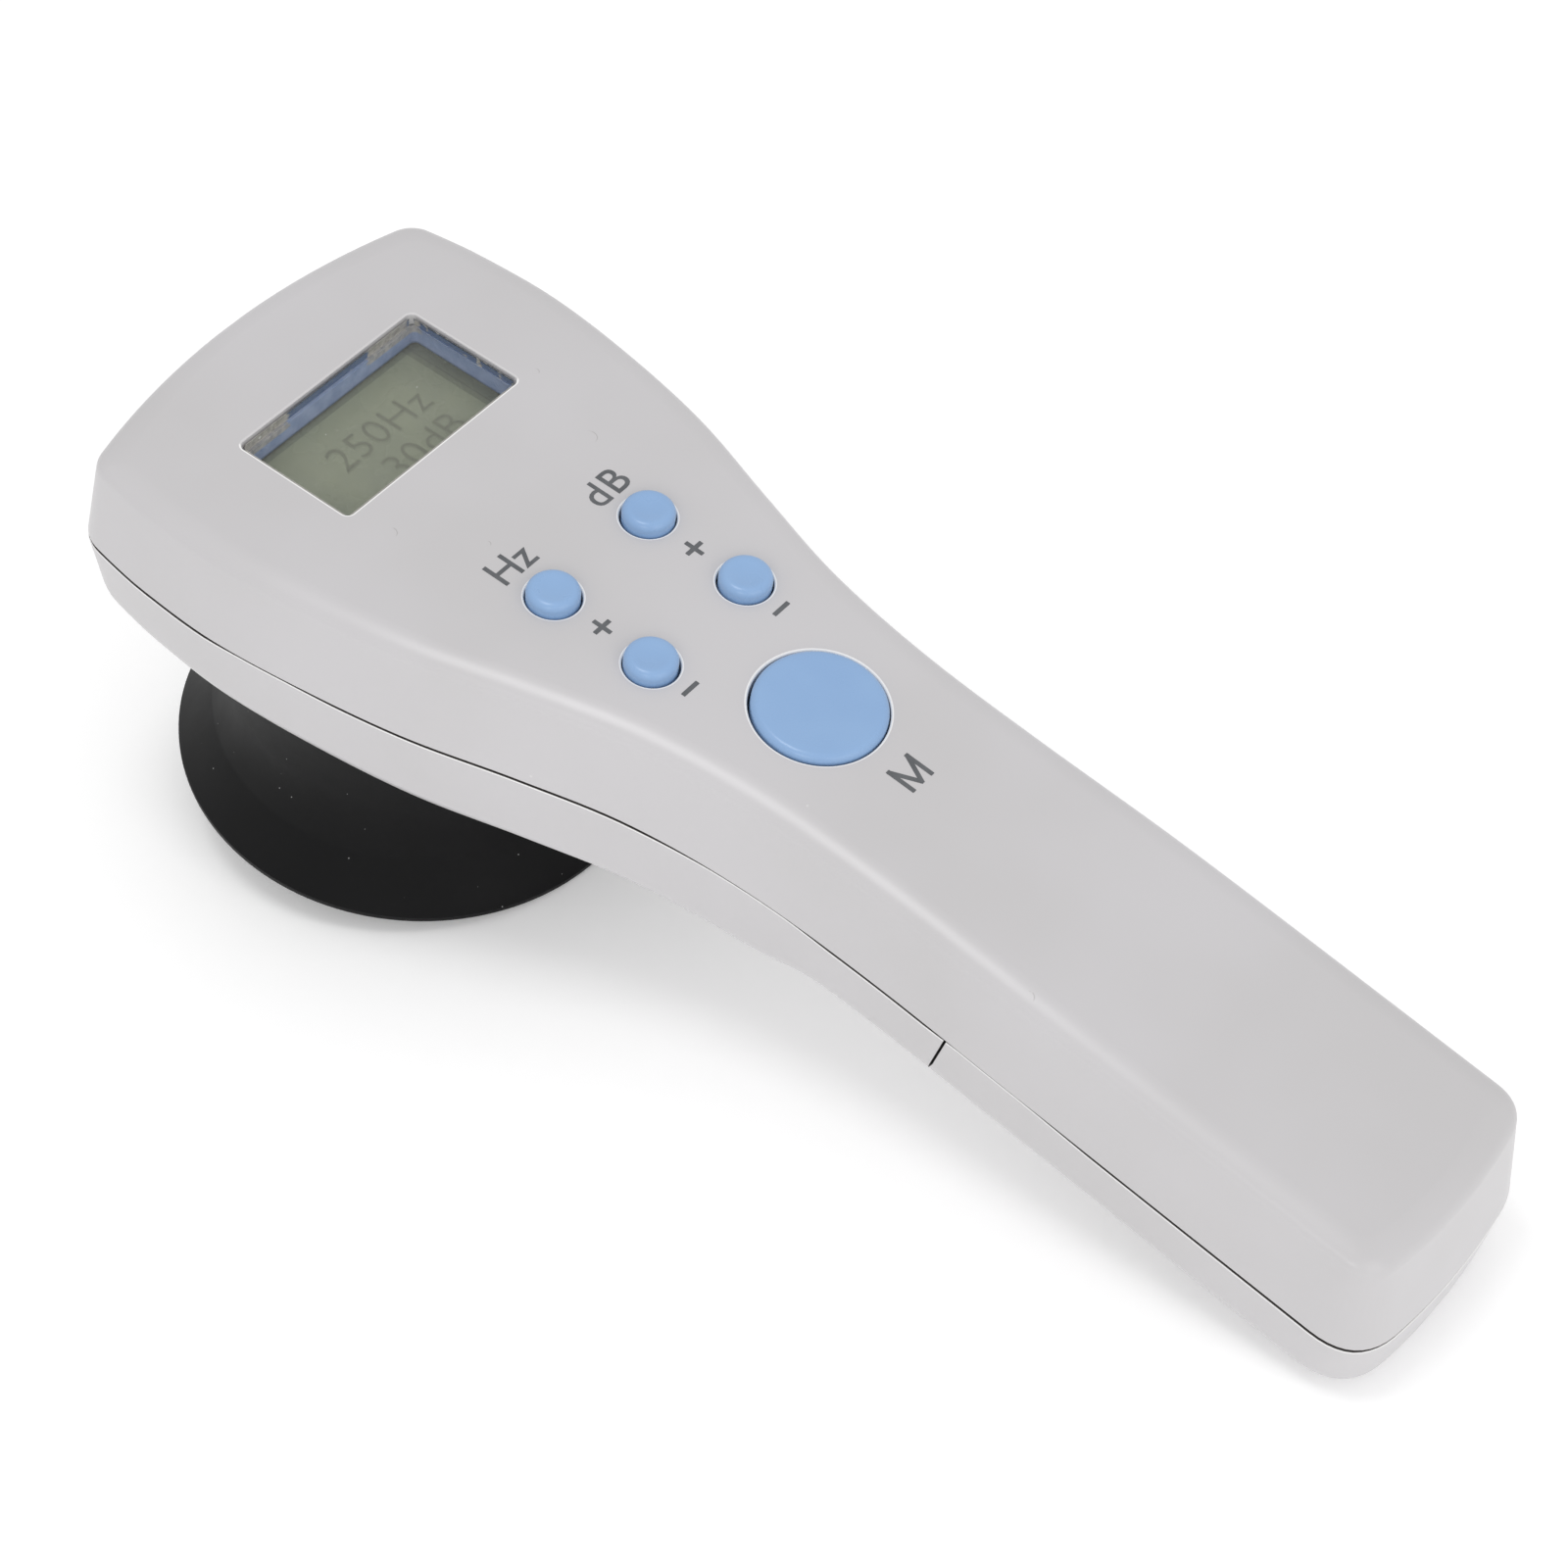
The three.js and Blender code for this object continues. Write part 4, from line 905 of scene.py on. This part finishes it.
def nearSplit(spot, direction):
    lean = casing["coverLean"]
    along = Vector((cos(lean), 0, -sin(lean)))
    start = Vector((casing["coverFront"], 0, seamAt(casing["coverFront"])))
    return abs(direction.dot(along)) > 0.98 and abs((spot - start).dot(along)) < casing["coverGap"]


# Sets a cutter made at the origin on the top face, and bends it to follow that face.
def bendOnto(piece, x, y):
    for point in piece.data.vertices:
        spot = point.co / mm
        point.co = Vector((spot.x + x, spot.y + y, spot.z + topAt(spot.x + x))) * mm
    return piece


# Steps out and up of a cutter that rounds an edge. It starts inside the opening.
def flareSteps(edge):
    return [(-0.05, -edge - 0.1), *arc((edge, -edge), edge, 160, 100, 3), (edge, past)]


def addHoleFlare(x, y, radius, edge):
    steps = flareSteps(edge)
    profile = [(0, steps[0][1]), *[(radius + out, height) for out, height in steps], (0, past)]
    return bendOnto(spinPiece("flare", profile, 96), x, y)


def addWindowFlare():
    length, width = window["length"], window["width"]
    steps = flareSteps(window["edge"])
    reach, level = steps[0]
    sizes = (length + 2 * reach, width + 2 * reach)
    flare = addRoundedSlab("flare", *sizes, window["corner"], level - 0.3, level)
    pick(flare, "FACE", lambda face: face.normal.z > 0.9)
    for out, height in steps[1:]:
        extrude(0, 0, height - level)
        scale = [(size + 2 * out) / (size + 2 * reach) for size in (length, width)]
        bpy.ops.transform.resize(value=(*scale, 1), center_override=(window["x"] * mm, 0, 0))
        reach, level = out, height
    setMode("OBJECT")
    return flare


def makeUpperShell():
    wall, gap = casing["wall"], casing["restGap"]
    underSeam = lambda x: seamAt(x) - past
    inWall = lambda x: topAt(x) - wall / 2
    shell = growCasing("upper_shell", roundedBottom(0, casing["seamEdge"], 3, seamAt) + ridgeLevels())
    ceiling = roundedTop(casing["upperDraft"] + wall, casing["innerRound"], 3, lambda x: topAt(x) - wall)
    combine(shell, growCasing("inner", [(wall, underSeam), *ceiling]))
    rebate = addSeamBand("rebate", wall - casing["lip"] - gap, -past, casing["lipHeight"] + gap)
    combine(rebate, addGripSide(0))
    combine(shell, rebate)
    slim, pilot, depth = (bosses["small" + key] for key in ("Diameter", "Hole", "Depth"))
    posts = addPosts(bosses["housing"], bosses["housingDiameter"], seamAt, inWall)
    posts += addPosts(bosses["board"], slim, lambda x: bosses["boardTop"] + gap, inWall)
    posts += addTrayPosts(slim, bosses["trayTop"] + gap, -wall / 2)
    combine(shell, joined(posts), "UNION")
    tip = lambda x: floorAt(x) + bosses["recessDepth"] + bosses["housingDepth"]
    boardTip = lambda x: bosses["boardLow"] + depth
    cuts = addPosts(bosses["housing"], bosses["housingHole"], underSeam, tip)
    cuts += addPosts(bosses["board"], pilot, lambda x: bosses["boardTop"] - past, boardTip)
    cuts += addTrayPosts(pilot, bosses["trayTop"] - past, bosses["trayFloor"] + depth)
    for x, y, radius, edge in holes:
        cuts.append(addPost(x, y, 2 * radius, topAt(x) - 2 * past, topAt(x) + past, 96))
    sizes = [window[key] for key in ("length", "width", "corner")]
    cuts.append(addRoundedSlab("opening", *sizes, -2 * past, past))
    combine(shell, joined(cuts))
    combine(shell, joined([addHoleFlare(*hole) for hole in holes] + [addWindowFlare()]))
    # The seam's underside is painted dark, for dirt and for the shade in the gap.
    markFaces(shell, "grimeAndShade", lambda spot, aim: aim.z < -0.45 and abs(spot.z - seamAt(spot.x)) < 0.12)
    settle(shell, "casing_plastic", ["front_housing"], weighted=True)
    evenTop(shell)


def addLowerForm():
    levels = roundedBottom(casing["lowerDraft"], casing["bottomRound"], 8, floorAt, casing["lowerLean"])
    levels += roundedTop(0, casing["rimEdge"], 3, lambda x: seamAt(x) - gapAt(x))
    return growCasing("lower_form", levels, casing["lowerCornerTaper"])


def addLowerInner():
    wall = casing["wall"]
    inside = lambda x: floorAt(x) + wall
    levels = roundedBottom(casing["lowerDraft"] + wall, casing["bottomRound"] - wall, 3, inside)
    levels.append((wall, lambda x: seamAt(x) + past))
    return growCasing("lower_inner", levels, casing["lowerCornerTaper"])


def makeLowerShells():
    form, inner = addLowerForm(), addLowerInner()
    wall, gap = casing["wall"], casing["coverGap"]
    cover = copyOf(form, "cover")
    rear = copyOf(form, "lower_shell")
    combine(rear, addSeamBand("lip", wall - casing["lip"], -wall, casing["lipHeight"]), "UNION")
    combine(rear, inner, keepTool=True)
    bulkhead = copyOf(form, "bulkhead")
    combine(bulkhead, addGripSide(-gap / 2 - wall), "INTERSECT")
    combine(rear, bulkhead, "UNION")
    marks, depth = bosses["housing"], earSeat["depth"]
    inWall = lambda x: floorAt(x) + wall / 2
    underSeam = lambda x: seamAt(x) - casing["restGap"]
    combine(rear, putIn(earFrame, addPost(0, 0, earSeat["spigot"], -depth, wall / 2, 128)), "UNION")
    combine(rear, joined(addPosts(marks, bosses["housingDiameter"], inWall, underSeam)), "UNION")
    combine(rear, addGripSide(-gap / 2))
    combine(rear, putIn(earFrame, addPost(0, 0, earSeat["bore"], -depth - past, wall + past, 128)))
    outside = lambda x: floorAt(x) - past
    combine(rear, joined(addPosts(marks, bosses["housingHole"], outside, lambda x: seamAt(x) + past)))
    seat = lambda x: floorAt(x) + bosses["recessDepth"]
    combine(rear, joined(addPosts(marks, bosses["recess"], outside, seat)))
    for x, y in twins(marks):
        fromWall = lambda spot: abs(hypot(spot.x - x, spot.y - y) - bosses["recess"] / 2)
        onMouth = lambda spot: fromWall(spot) < 0.02 and abs(spot.z - floorAt(spot.x)) < 0.05
        roundEdges(rear, onMouth, bosses["recessEdge"])

    def aboveRim(spot):
        return spot.z - (seamAt(spot.x) - gapAt(spot.x))

    # Faces painted dark for dirt and shade: the cover's split, all above the rim, and the rim's flat
    # land.
    def inJoint(spot, aim):
        above = aboveRim(spot)
        return nearSplit(spot, aim) or above > 0.02 or (aim.z > 0.8 and abs(above) < 0.1)

    # Faces of the rim's round, which get a painted highlight.
    def onRim(spot, aim):
        return 0.1 < aim.z < 0.8 and -0.25 < aboveRim(spot) < 0.02

    markFaces(rear, "grimeAndShade", inJoint)
    markFaces(rear, "rim", onRim)
    settle(rear, "casing_plastic", ["rear_housing"], weighted=True)

    combine(cover, addGripSide(gap / 2), "INTERSECT")
    combine(cover, inner)
    start, end, near, far, low, high = coverRails.values()
    rails = [
        putIn(gripFrame, addBlock((start, left, low), (end, right, high)))
        for left, right in ((-far, -near), (near, far))
    ]
    combine(cover, joined(rails), "UNION")
    bpy.data.objects.remove(form, do_unlink=True)
    markFaces(cover, "grimeAndShade", inJoint)
    markFaces(cover, "rim", onRim)
    settle(cover, "casing_plastic", ["battery_cover"], "battery_cover", weighted=True)


makeUpperShell()
makeLowerShells()

print("stage: display")


def makePane():
    length, width = (window[key] - 2 * pane["gap"] for key in ("length", "width"))
    glass = addRoundedSlab("window_pane", length, width, pane["corner"], pane["low"], pane["top"])
    roundEdges(glass, lambda p: p.z > pane["top"] - 0.01, pane["edge"])
    settle(glass, "clear_pane", ["display_window"])


# The foam frame between the casing and the panel, narrower where it stands on the panel.
def makeFoam():
    length, width = window["length"], window["width"]
    top, step, low = foam["top"], foam["step"], foam["low"]

    def addRing(name, out, under, over):
        return addRoundedSlab(name, length + 2 * out, width + 2 * out, foam["corner"], under, over)

    body = addRing("foam_frame", foam["rim"], step, top)
    combine(body, addRing("foot", foam["lowRim"], low, step + foam["overlap"]), "UNION")
    sizes = (length - 2 * foam["lip"], width, foam["holeCorner"])
    combine(body, addRoundedSlab("hole", *sizes, low - past, top + past))
    settle(body, "gasket_foam", ["display_gasket"])


# The panel of the display: a glass plate with a thinner film on it.
def makePanel():
    length, width = (window[key] + 2 * panel["margin"] for key in ("length", "width"))
    middle, high = window["x"], panel["top"] - panel["film"]
    low = (middle - length / 2, -width / 2, panel["low"])
    plate = addBlock(low, (middle + length / 2, width / 2, high))
    pick(plate, "FACE", lambda face: face.normal.z > 0.9)
    bpy.ops.mesh.inset(thickness=panel["filmMargin"] * mm)
    extrude(0, 0, panel["film"])
    setMode("OBJECT")
    plate.name = "display_panel_glass"
    bakePlace(plate)
    applyModifier(plate, "BEVEL", width=panel["edge"] * mm, segments=2, limit_method="ANGLE")
    settle(plate, "display_panel", ["display_glass"], weighted=True)


capShare = 0.729  # height of a capital, as a share of the type's size
reading = {
    "rows": [("250Hz", -81.5, 1.3), ("30dB", -74.5, 3.4)],  # words, x, y
    "capHeight": 5.2,
    "bold": -0.08,
    "spacing": 1.02,
    "shadow": (0.28, -0.2),
    "depth": 0.006,
}


def addText(words, capHeight, depth, bold, spacing):
    clearSelection()
    bpy.ops.object.text_add()
    text = newest("mark").data
    text.body, text.size, text.space_character = words, capHeight / capShare * mm, spacing
    text.align_x, text.align_y, text.resolution_u = "CENTER", "CENTER", 4
    text.extrude, text.offset = depth * mm, bold * mm
    bpy.ops.object.convert(target="MESH")
    return bpy.context.object


# Lays a flat mark on the top face, or a little under it, with its top towards the front.
def layMark(mark, x, y, z):
    mark.matrix_world = (
        Matrix.Translation(Vector((x, y, z)) * mm)
        @ Matrix.Rotation(atan(fallAt(x)), 4, "Y")
        @ Matrix.Rotation(pi / 2, 4, "Z")
    )
    return bakePlace(mark)


# The reading, and reading_shadow, an offset copy in a darker tint that is the digits' painted shadow on
# the panel.
def makeReading():
    depth = reading["depth"]
    for name, (alongX, alongY), lift, ink in (
        ("reading_shadow", reading["shadow"], 1, paintedShadowInk),
        ("display_reading", (0, 0), 3, readingInk),
    ):
        rows = []
        for words, x, y in reading["rows"]:
            row = addText(words, reading["capHeight"], depth, reading["bold"], reading["spacing"])
            rows.append(layMark(row, x + alongX, y + alongY, panel["top"] + lift * depth))
        piece = joined(rows)
        piece.name = name
        settle(piece, "display_panel", finish=ink)


makePane()
makeFoam()
makePanel()
makeReading()

print("stage: buttons")

keys = {
    "hz_plus_button": (-38.9, -10.15),
    "hz_minus_button": (-21.3, -10.15),
    "db_plus_button": (-38.8, 10.22),
    "db_minus_button": (-21.2, 10.22),
}
keySizes = {"diameter": 7.7, "stem": 4.0, "proud": 1.95, "edge": 1.2, "dish": 0.35}
measureSizes = {"diameter": 19.2, "stem": 6.0, "proud": 0.9, "edge": 1.2, "dish": 0.16}
flange = {"width": 1.3, "height": 1.0, "collar": 0.4}
plungerTop = -8.2


def makeButton(name, x, y, sizes):
    radius = sizes["diameter"] / 2
    reach = radius + flange["width"]
    flangeTop = topAt(x + reach) - casing["wall"] - casing["restGap"]
    flangeLow = flangeTop - flange["height"]
    low, stem = plungerTop + casing["restGap"], sizes["stem"] / 2
    top = topAt(x) + sizes["proud"]
    edge, dish = sizes["edge"], sizes["dish"]
    flat = radius - edge
    shares = [0.88, 0.76, 0.64, 0.5, 0.35, 0.2, 0.1]
    profile = [
        (0, low),
        (stem, low),
        (stem, flangeLow),
        (reach, flangeLow),
        (reach, flangeTop),
        (radius, flangeTop),
        (radius, flangeTop + flange["collar"]),
        *arc((flat, top - edge), edge, 0, 84, 9),
        *[(flat * share, top - dish * (1 - share * share) ** 1.2) for share in shares],
        (0, top - dish),
    ]
    button = spinPiece(name + "_cap", profile, 72)
    pick(button, "VERT", lambda point: point.co.z > (flangeTop + flange["collar"] / 2) * mm)
    lean = -atan(fallAt(x))
    bpy.ops.transform.rotate(value=lean, orient_axis="Y", center_override=(0, 0, top * mm))
    setMode("OBJECT")
    button.location = (x * mm, y * mm, 0)
    settle(button, "key_plastic", [name], name)


for name, (x, y) in keys.items():
    makeButton(name, x, y, keySizes)
makeButton("measure_button", 0.16, 0.09, measureSizes)

print("stage: cushion")

cushion = {
    "height": 33.8,
    "neck": 61.6,
    "shoulder": 1.2,
    "waist": 57.8,
    "coveHeight": 9.0,
    "covePower": 1.6,
    "skirt": 63.0,
    "skirtHeight": 8.3,
    "rim": 72.9,
    "rimHeight": 1.3,
    "rimEdge": 0.6,
    "rimFace": 4.4,
    "heelLean": 12,  # degrees, a little more than the rim's face leans when the part stands
    "hole": 30.0,
    "holeDepth": 8.0,
    "mouthPower": 1.5,
    "driver": 50.6,
    "screen": 40.6,
    "screenTop": -15.3,
    "screenLow": -16.1,
}


def makeCushion():
    outer, waist, skirt, rim = (cushion[key] / 2 for key in ("neck", "waist", "skirt", "rim"))
    driver, plate, hole = (cushion[key] / 2 for key in ("driver", "screen", "hole"))
    gap = casing["restGap"]
    face = -cushion["height"]
    rimTop = face + cushion["rimHeight"]
    skirtZ = face + cushion["skirtHeight"]
    waistZ = skirtZ + cushion["coveHeight"]
    inside = rim - cushion["rimEdge"] - cushion["rimFace"]
    heel = radians(cushion["heelLean"])
    heelRadius = cushion["rimEdge"] / (1 - sin(heel))
    holeTop = cushion["screenLow"] - gap
    holeLow = holeTop - cushion["holeDepth"]
    shoulder = cushion["shoulder"]
    neckTop = -gap - shoulder
    steps = [k / 14 for k in range(15)]
    mouth = [
        (between(hole, inside, t), between(holeLow, face, t ** cushion["mouthPower"]))
        for t in steps
    ]
    cove = [
        (between(waist, skirt, (1 - t) ** cushion["covePower"]), between(skirtZ, waistZ, t))
        for t in steps[:-1]
    ]
    neck = [(between(waist, outer, t * t), between(waistZ, neckTop, t)) for t in steps[:-1]]
    seat = (earSeat["spigot"] + 2 * gap) / 2
    seatLow = -earSeat["depth"] - gap
    heelCentre = (rim - heelRadius, face + heelRadius * cos(heel))
    profile = [
        *arc(heelCentre, heelRadius, cushion["heelLean"] - 90, 0, 8),
        (rim, rimTop),
        *cove,
        *neck,
        *arc((outer - shoulder, neckTop), shoulder, 0, 90, 8),
        (seat, -gap),
        (seat, seatLow),
        (driver, seatLow),
        (driver, cushion["screenTop"]),
        (plate, cushion["screenTop"]),
        (plate, holeTop),
        (hole, holeTop),
        *mouth,
        (rim - cushion["rimEdge"], face),
    ]
    pad = putIn(earFrame, spinPiece("ear_pad", profile, 144))
    settle(pad, "cushion_rubber", ["ear_cushion"], smooth=17)


screen = {"diameter": 40.0, "holeDiameter": 1.5, "pitch": 2.5, "rings": 5, "edge": 0.15}


# The thin screen in front of the earphone, with rings of sound holes.
def makeScreen():
    plate = addPost(0, 0, screen["diameter"], cushion["screenLow"], cushion["screenTop"], 96)
    plate.name = "sound_screen"
    applyModifier(plate, "BEVEL", width=screen["edge"] * mm, segments=2, limit_method="ANGLE")
    first = addPost(0, 0, screen["holeDiameter"], cushion["screenLow"] - 1, cushion["screenTop"] + 1, 12)
    cuts = [first]
    for ring in range(1, screen["rings"] + 1):
        reach = ring * screen["pitch"]
        for k in range(6 * ring):
            turn = 2 * pi * k / (6 * ring)
            hole = copyOf(first, "soundHole")
            hole.location += Vector((reach * cos(turn) * mm, reach * sin(turn) * mm, 0))
            cuts.append(hole)
    combine(plate, joined(cuts))
    putIn(earFrame, plate)
    settle(plate, "dark_plastic", ["earphone_screen"])


makeCushion()
makeScreen()

print("stage: screws")

screws = {
    "diameter": 2.4,
    "head": 5.0,
    "headHeight": 1.3,
    "length": 14.0,
    "dome": 0.35,
    "slotLength": 2.9,
    "slotWidth": 0.62,
    "slotDepth": 0.9,
    "slotTurn": 20,
    "edge": 0.22,
}


# The casing's screws point up, with a domed head and a cross in it.
def makeScrews():
    head, shank, edge = screws["head"] / 2, screws["diameter"] / 2, screws["edge"]
    low, dome = -screws["headHeight"], screws["dome"]
    profile = [
        (0, low),
        *[(head * t, low + dome * t * t) for t in (0.25, 0.5, 0.7, 0.86)],
        *arc((head - edge, low + dome + 0.16), edge, -60, 0, 4),
        (head, 0),
        (shank, 0),
        (shank, screws["length"] - 1),
        (0, screws["length"]),
    ]
    screw = spinPiece("screw", profile, 40)
    for turn in (0, 90):
        length, width = screws["slotLength"] / 2, screws["slotWidth"] / 2
        blade = addBlock((-length, -width, low - 1), (length, width, low + screws["slotDepth"]))
        blade.rotation_euler = (0, 0, radians(turn + screws["slotTurn"]))
        combine(screw, blade)
    for k, (x, y) in enumerate(twins(bosses["housing"])):
        seat = floorAt(x) + bosses["recessDepth"] - casing["restGap"]
        piece = copyOf(screw, f"case_screw_{k + 1}")
        piece.location = (x * mm, y * mm, seat * mm)
        settle(piece, "screw_steel", [f"housing_screw_{k + 1}"])
    bpy.data.objects.remove(screw, do_unlink=True)


makeScrews()

print("stage: marks")

legends = {
    "words": [("Hz", -46.88, -9.76, 1.0), ("dB", -46.6, 10.25, 1.1)],  # words, x, y, spacing
    "letter": (15.8, -0.05),
    "letterWidth": 4.7,
    "plus": [(-30.45, -9.75), (-30.35, 10.0)],
    "minus": [(-14.7, -9.8), (-14.6, 9.85)],
    "capHeight": 4.8,
    "bold": 0.03,
    "barLength": 3.2,
    "barWidth": 0.7,
    "corner": 0.08,
    "depth": 0.015,
}


# A flat bar whose length lies along the words.
def addBar(length, width):
    depth = legends["depth"]
    return addRoundedSlab("bar", length, width, legends["corner"], -depth, depth, 0, 3)


# The letter M: two stems, and two slanting strokes that meet at its foot.
def addLetter(width, stroke):
    tall, step = legends["capHeight"], (width - stroke) / 2
    lean = atan2(tall - stroke, step)
    slant = hypot(tall - stroke, step) + stroke * 0.7
    letter = None
    for side in (-1, 1):
        for length, turn, x in ((tall, pi / 2, step), (slant, side * lean, step / 2)):
            bar = addBar(length, stroke)
            bar.matrix_world = Matrix.Translation((side * x * mm, 0, 0)) @ Matrix.Rotation(turn, 4, "Z")
            bakePlace(bar)
            if letter:
                combine(letter, bar, "UNION")
            letter = letter or bar
    return letter


def makeMarks():
    length, width, depth = (legends[key] for key in ("barLength", "barWidth", "depth"))
    lay = lambda mark, x, y: layMark(mark, x, y, topAt(x) + depth)
    made = []
    for words, x, y, spacing in legends["words"]:
        mark = addText(words, legends["capHeight"], depth, legends["bold"], spacing)
        made.append(lay(mark, x, y))
    made.append(lay(addLetter(legends["letterWidth"], width), *legends["letter"]))
    made += [lay(addBar(length, width), x, y) for x, y in legends["minus"]]
    for x, y in legends["plus"]:
        cross = addBar(length, width)
        combine(cross, addBar(width, length), "UNION")
        made.append(lay(cross, x, y))
    piece = joined(made)
    piece.name = "printed_marks"
    settle(piece, "dark_plastic", finish=markInk)


makeMarks()

print("stage: studio")

view = {
    "target": (6.293, -15.792, 0.0),
    "azimuth": 34.926,
    "elevation": 50.051,
    "roll": 4.895,
    "distance": 556.4,
    "lens": 96.141,
}
white = (1, 1, 1, 1)
studio = {
    "sky": 0.765,
    "floor": [(0.97, 0.97, 0.97, 1), (0.9603, 0.9603, 0.9603, 1)],
    "floorGlow": 0.16,
    "lampAim": (0, 0, 0.03),
    "lamps": [  # place in metres, size, watts
        ((0.0, -0.18, 1.0), 0.28, 1.75),
        ((0.35, -0.75, 0.5), 0.25, 0.7),
        ((0.9, -0.15, 0.4), 0.7, 1.3),
    ],
}


def makeCamera():
    az, el, roll = (radians(view[key]) for key in ("azimuth", "elevation", "roll"))
    back = Vector((sin(az) * cos(el), -cos(az) * cos(el), sin(el)))
    across = Vector((0, 0, 1)).cross(back).normalized()
    up = back.cross(across)
    right = cos(roll) * across + sin(roll) * up
    top = -sin(roll) * across + cos(roll) * up
    spot = (Vector(view["target"]) + back * view["distance"]) * mm
    turn = Matrix((right, top, back)).transposed().to_4x4()
    clearSelection()
    bpy.ops.object.camera_add()
    camera = bpy.context.object
    camera.matrix_world = stand @ Matrix.Translation(spot) @ turn
    camera.data.lens = view["lens"]
    camera.data.sensor_width = 36
    camera.data.clip_start = 0.01
    bpy.context.scene.camera = camera


def makeStudio():
    clearSelection()
    bpy.ops.mesh.primitive_plane_add(size=6)
    floor = newest("floor")
    finish, shader, place = newFinish(
        "paleFloor",
        Roughness=0.9,
        Specular_IOR_Level=0.1,
        Emission_Color=white,
        Emission_Strength=studio["floorGlow"],
    )
    wire(shader, Base_Color=place.mixed(place.noise(4, 2).over(0.3, 0.7), *studio["floor"]))
    floor.data.materials.append(finish)
    for k, (spot, size, power) in enumerate(studio["lamps"]):
        bpy.ops.object.light_add(type="AREA", location=spot)
        lamp = bpy.context.object
        lamp.name = f"softbox_{k + 1}"
        lamp.data.size = size
        lamp.data.energy = power
        aim = Vector(studio["lampAim"]) - Vector(spot)
        lamp.rotation_euler = aim.to_track_quat("-Z", "Y").to_euler()
    world = bpy.data.worlds.new("studio")
    world.use_nodes = True
    sky = world.node_tree.nodes["Background"].inputs
    sky["Color"].default_value = white
    sky["Strength"].default_value = studio["sky"]
    bpy.context.scene.world = world
    bpy.context.scene.view_settings.view_transform = "Standard"


makeCamera()
makeStudio()

print("stage: done")
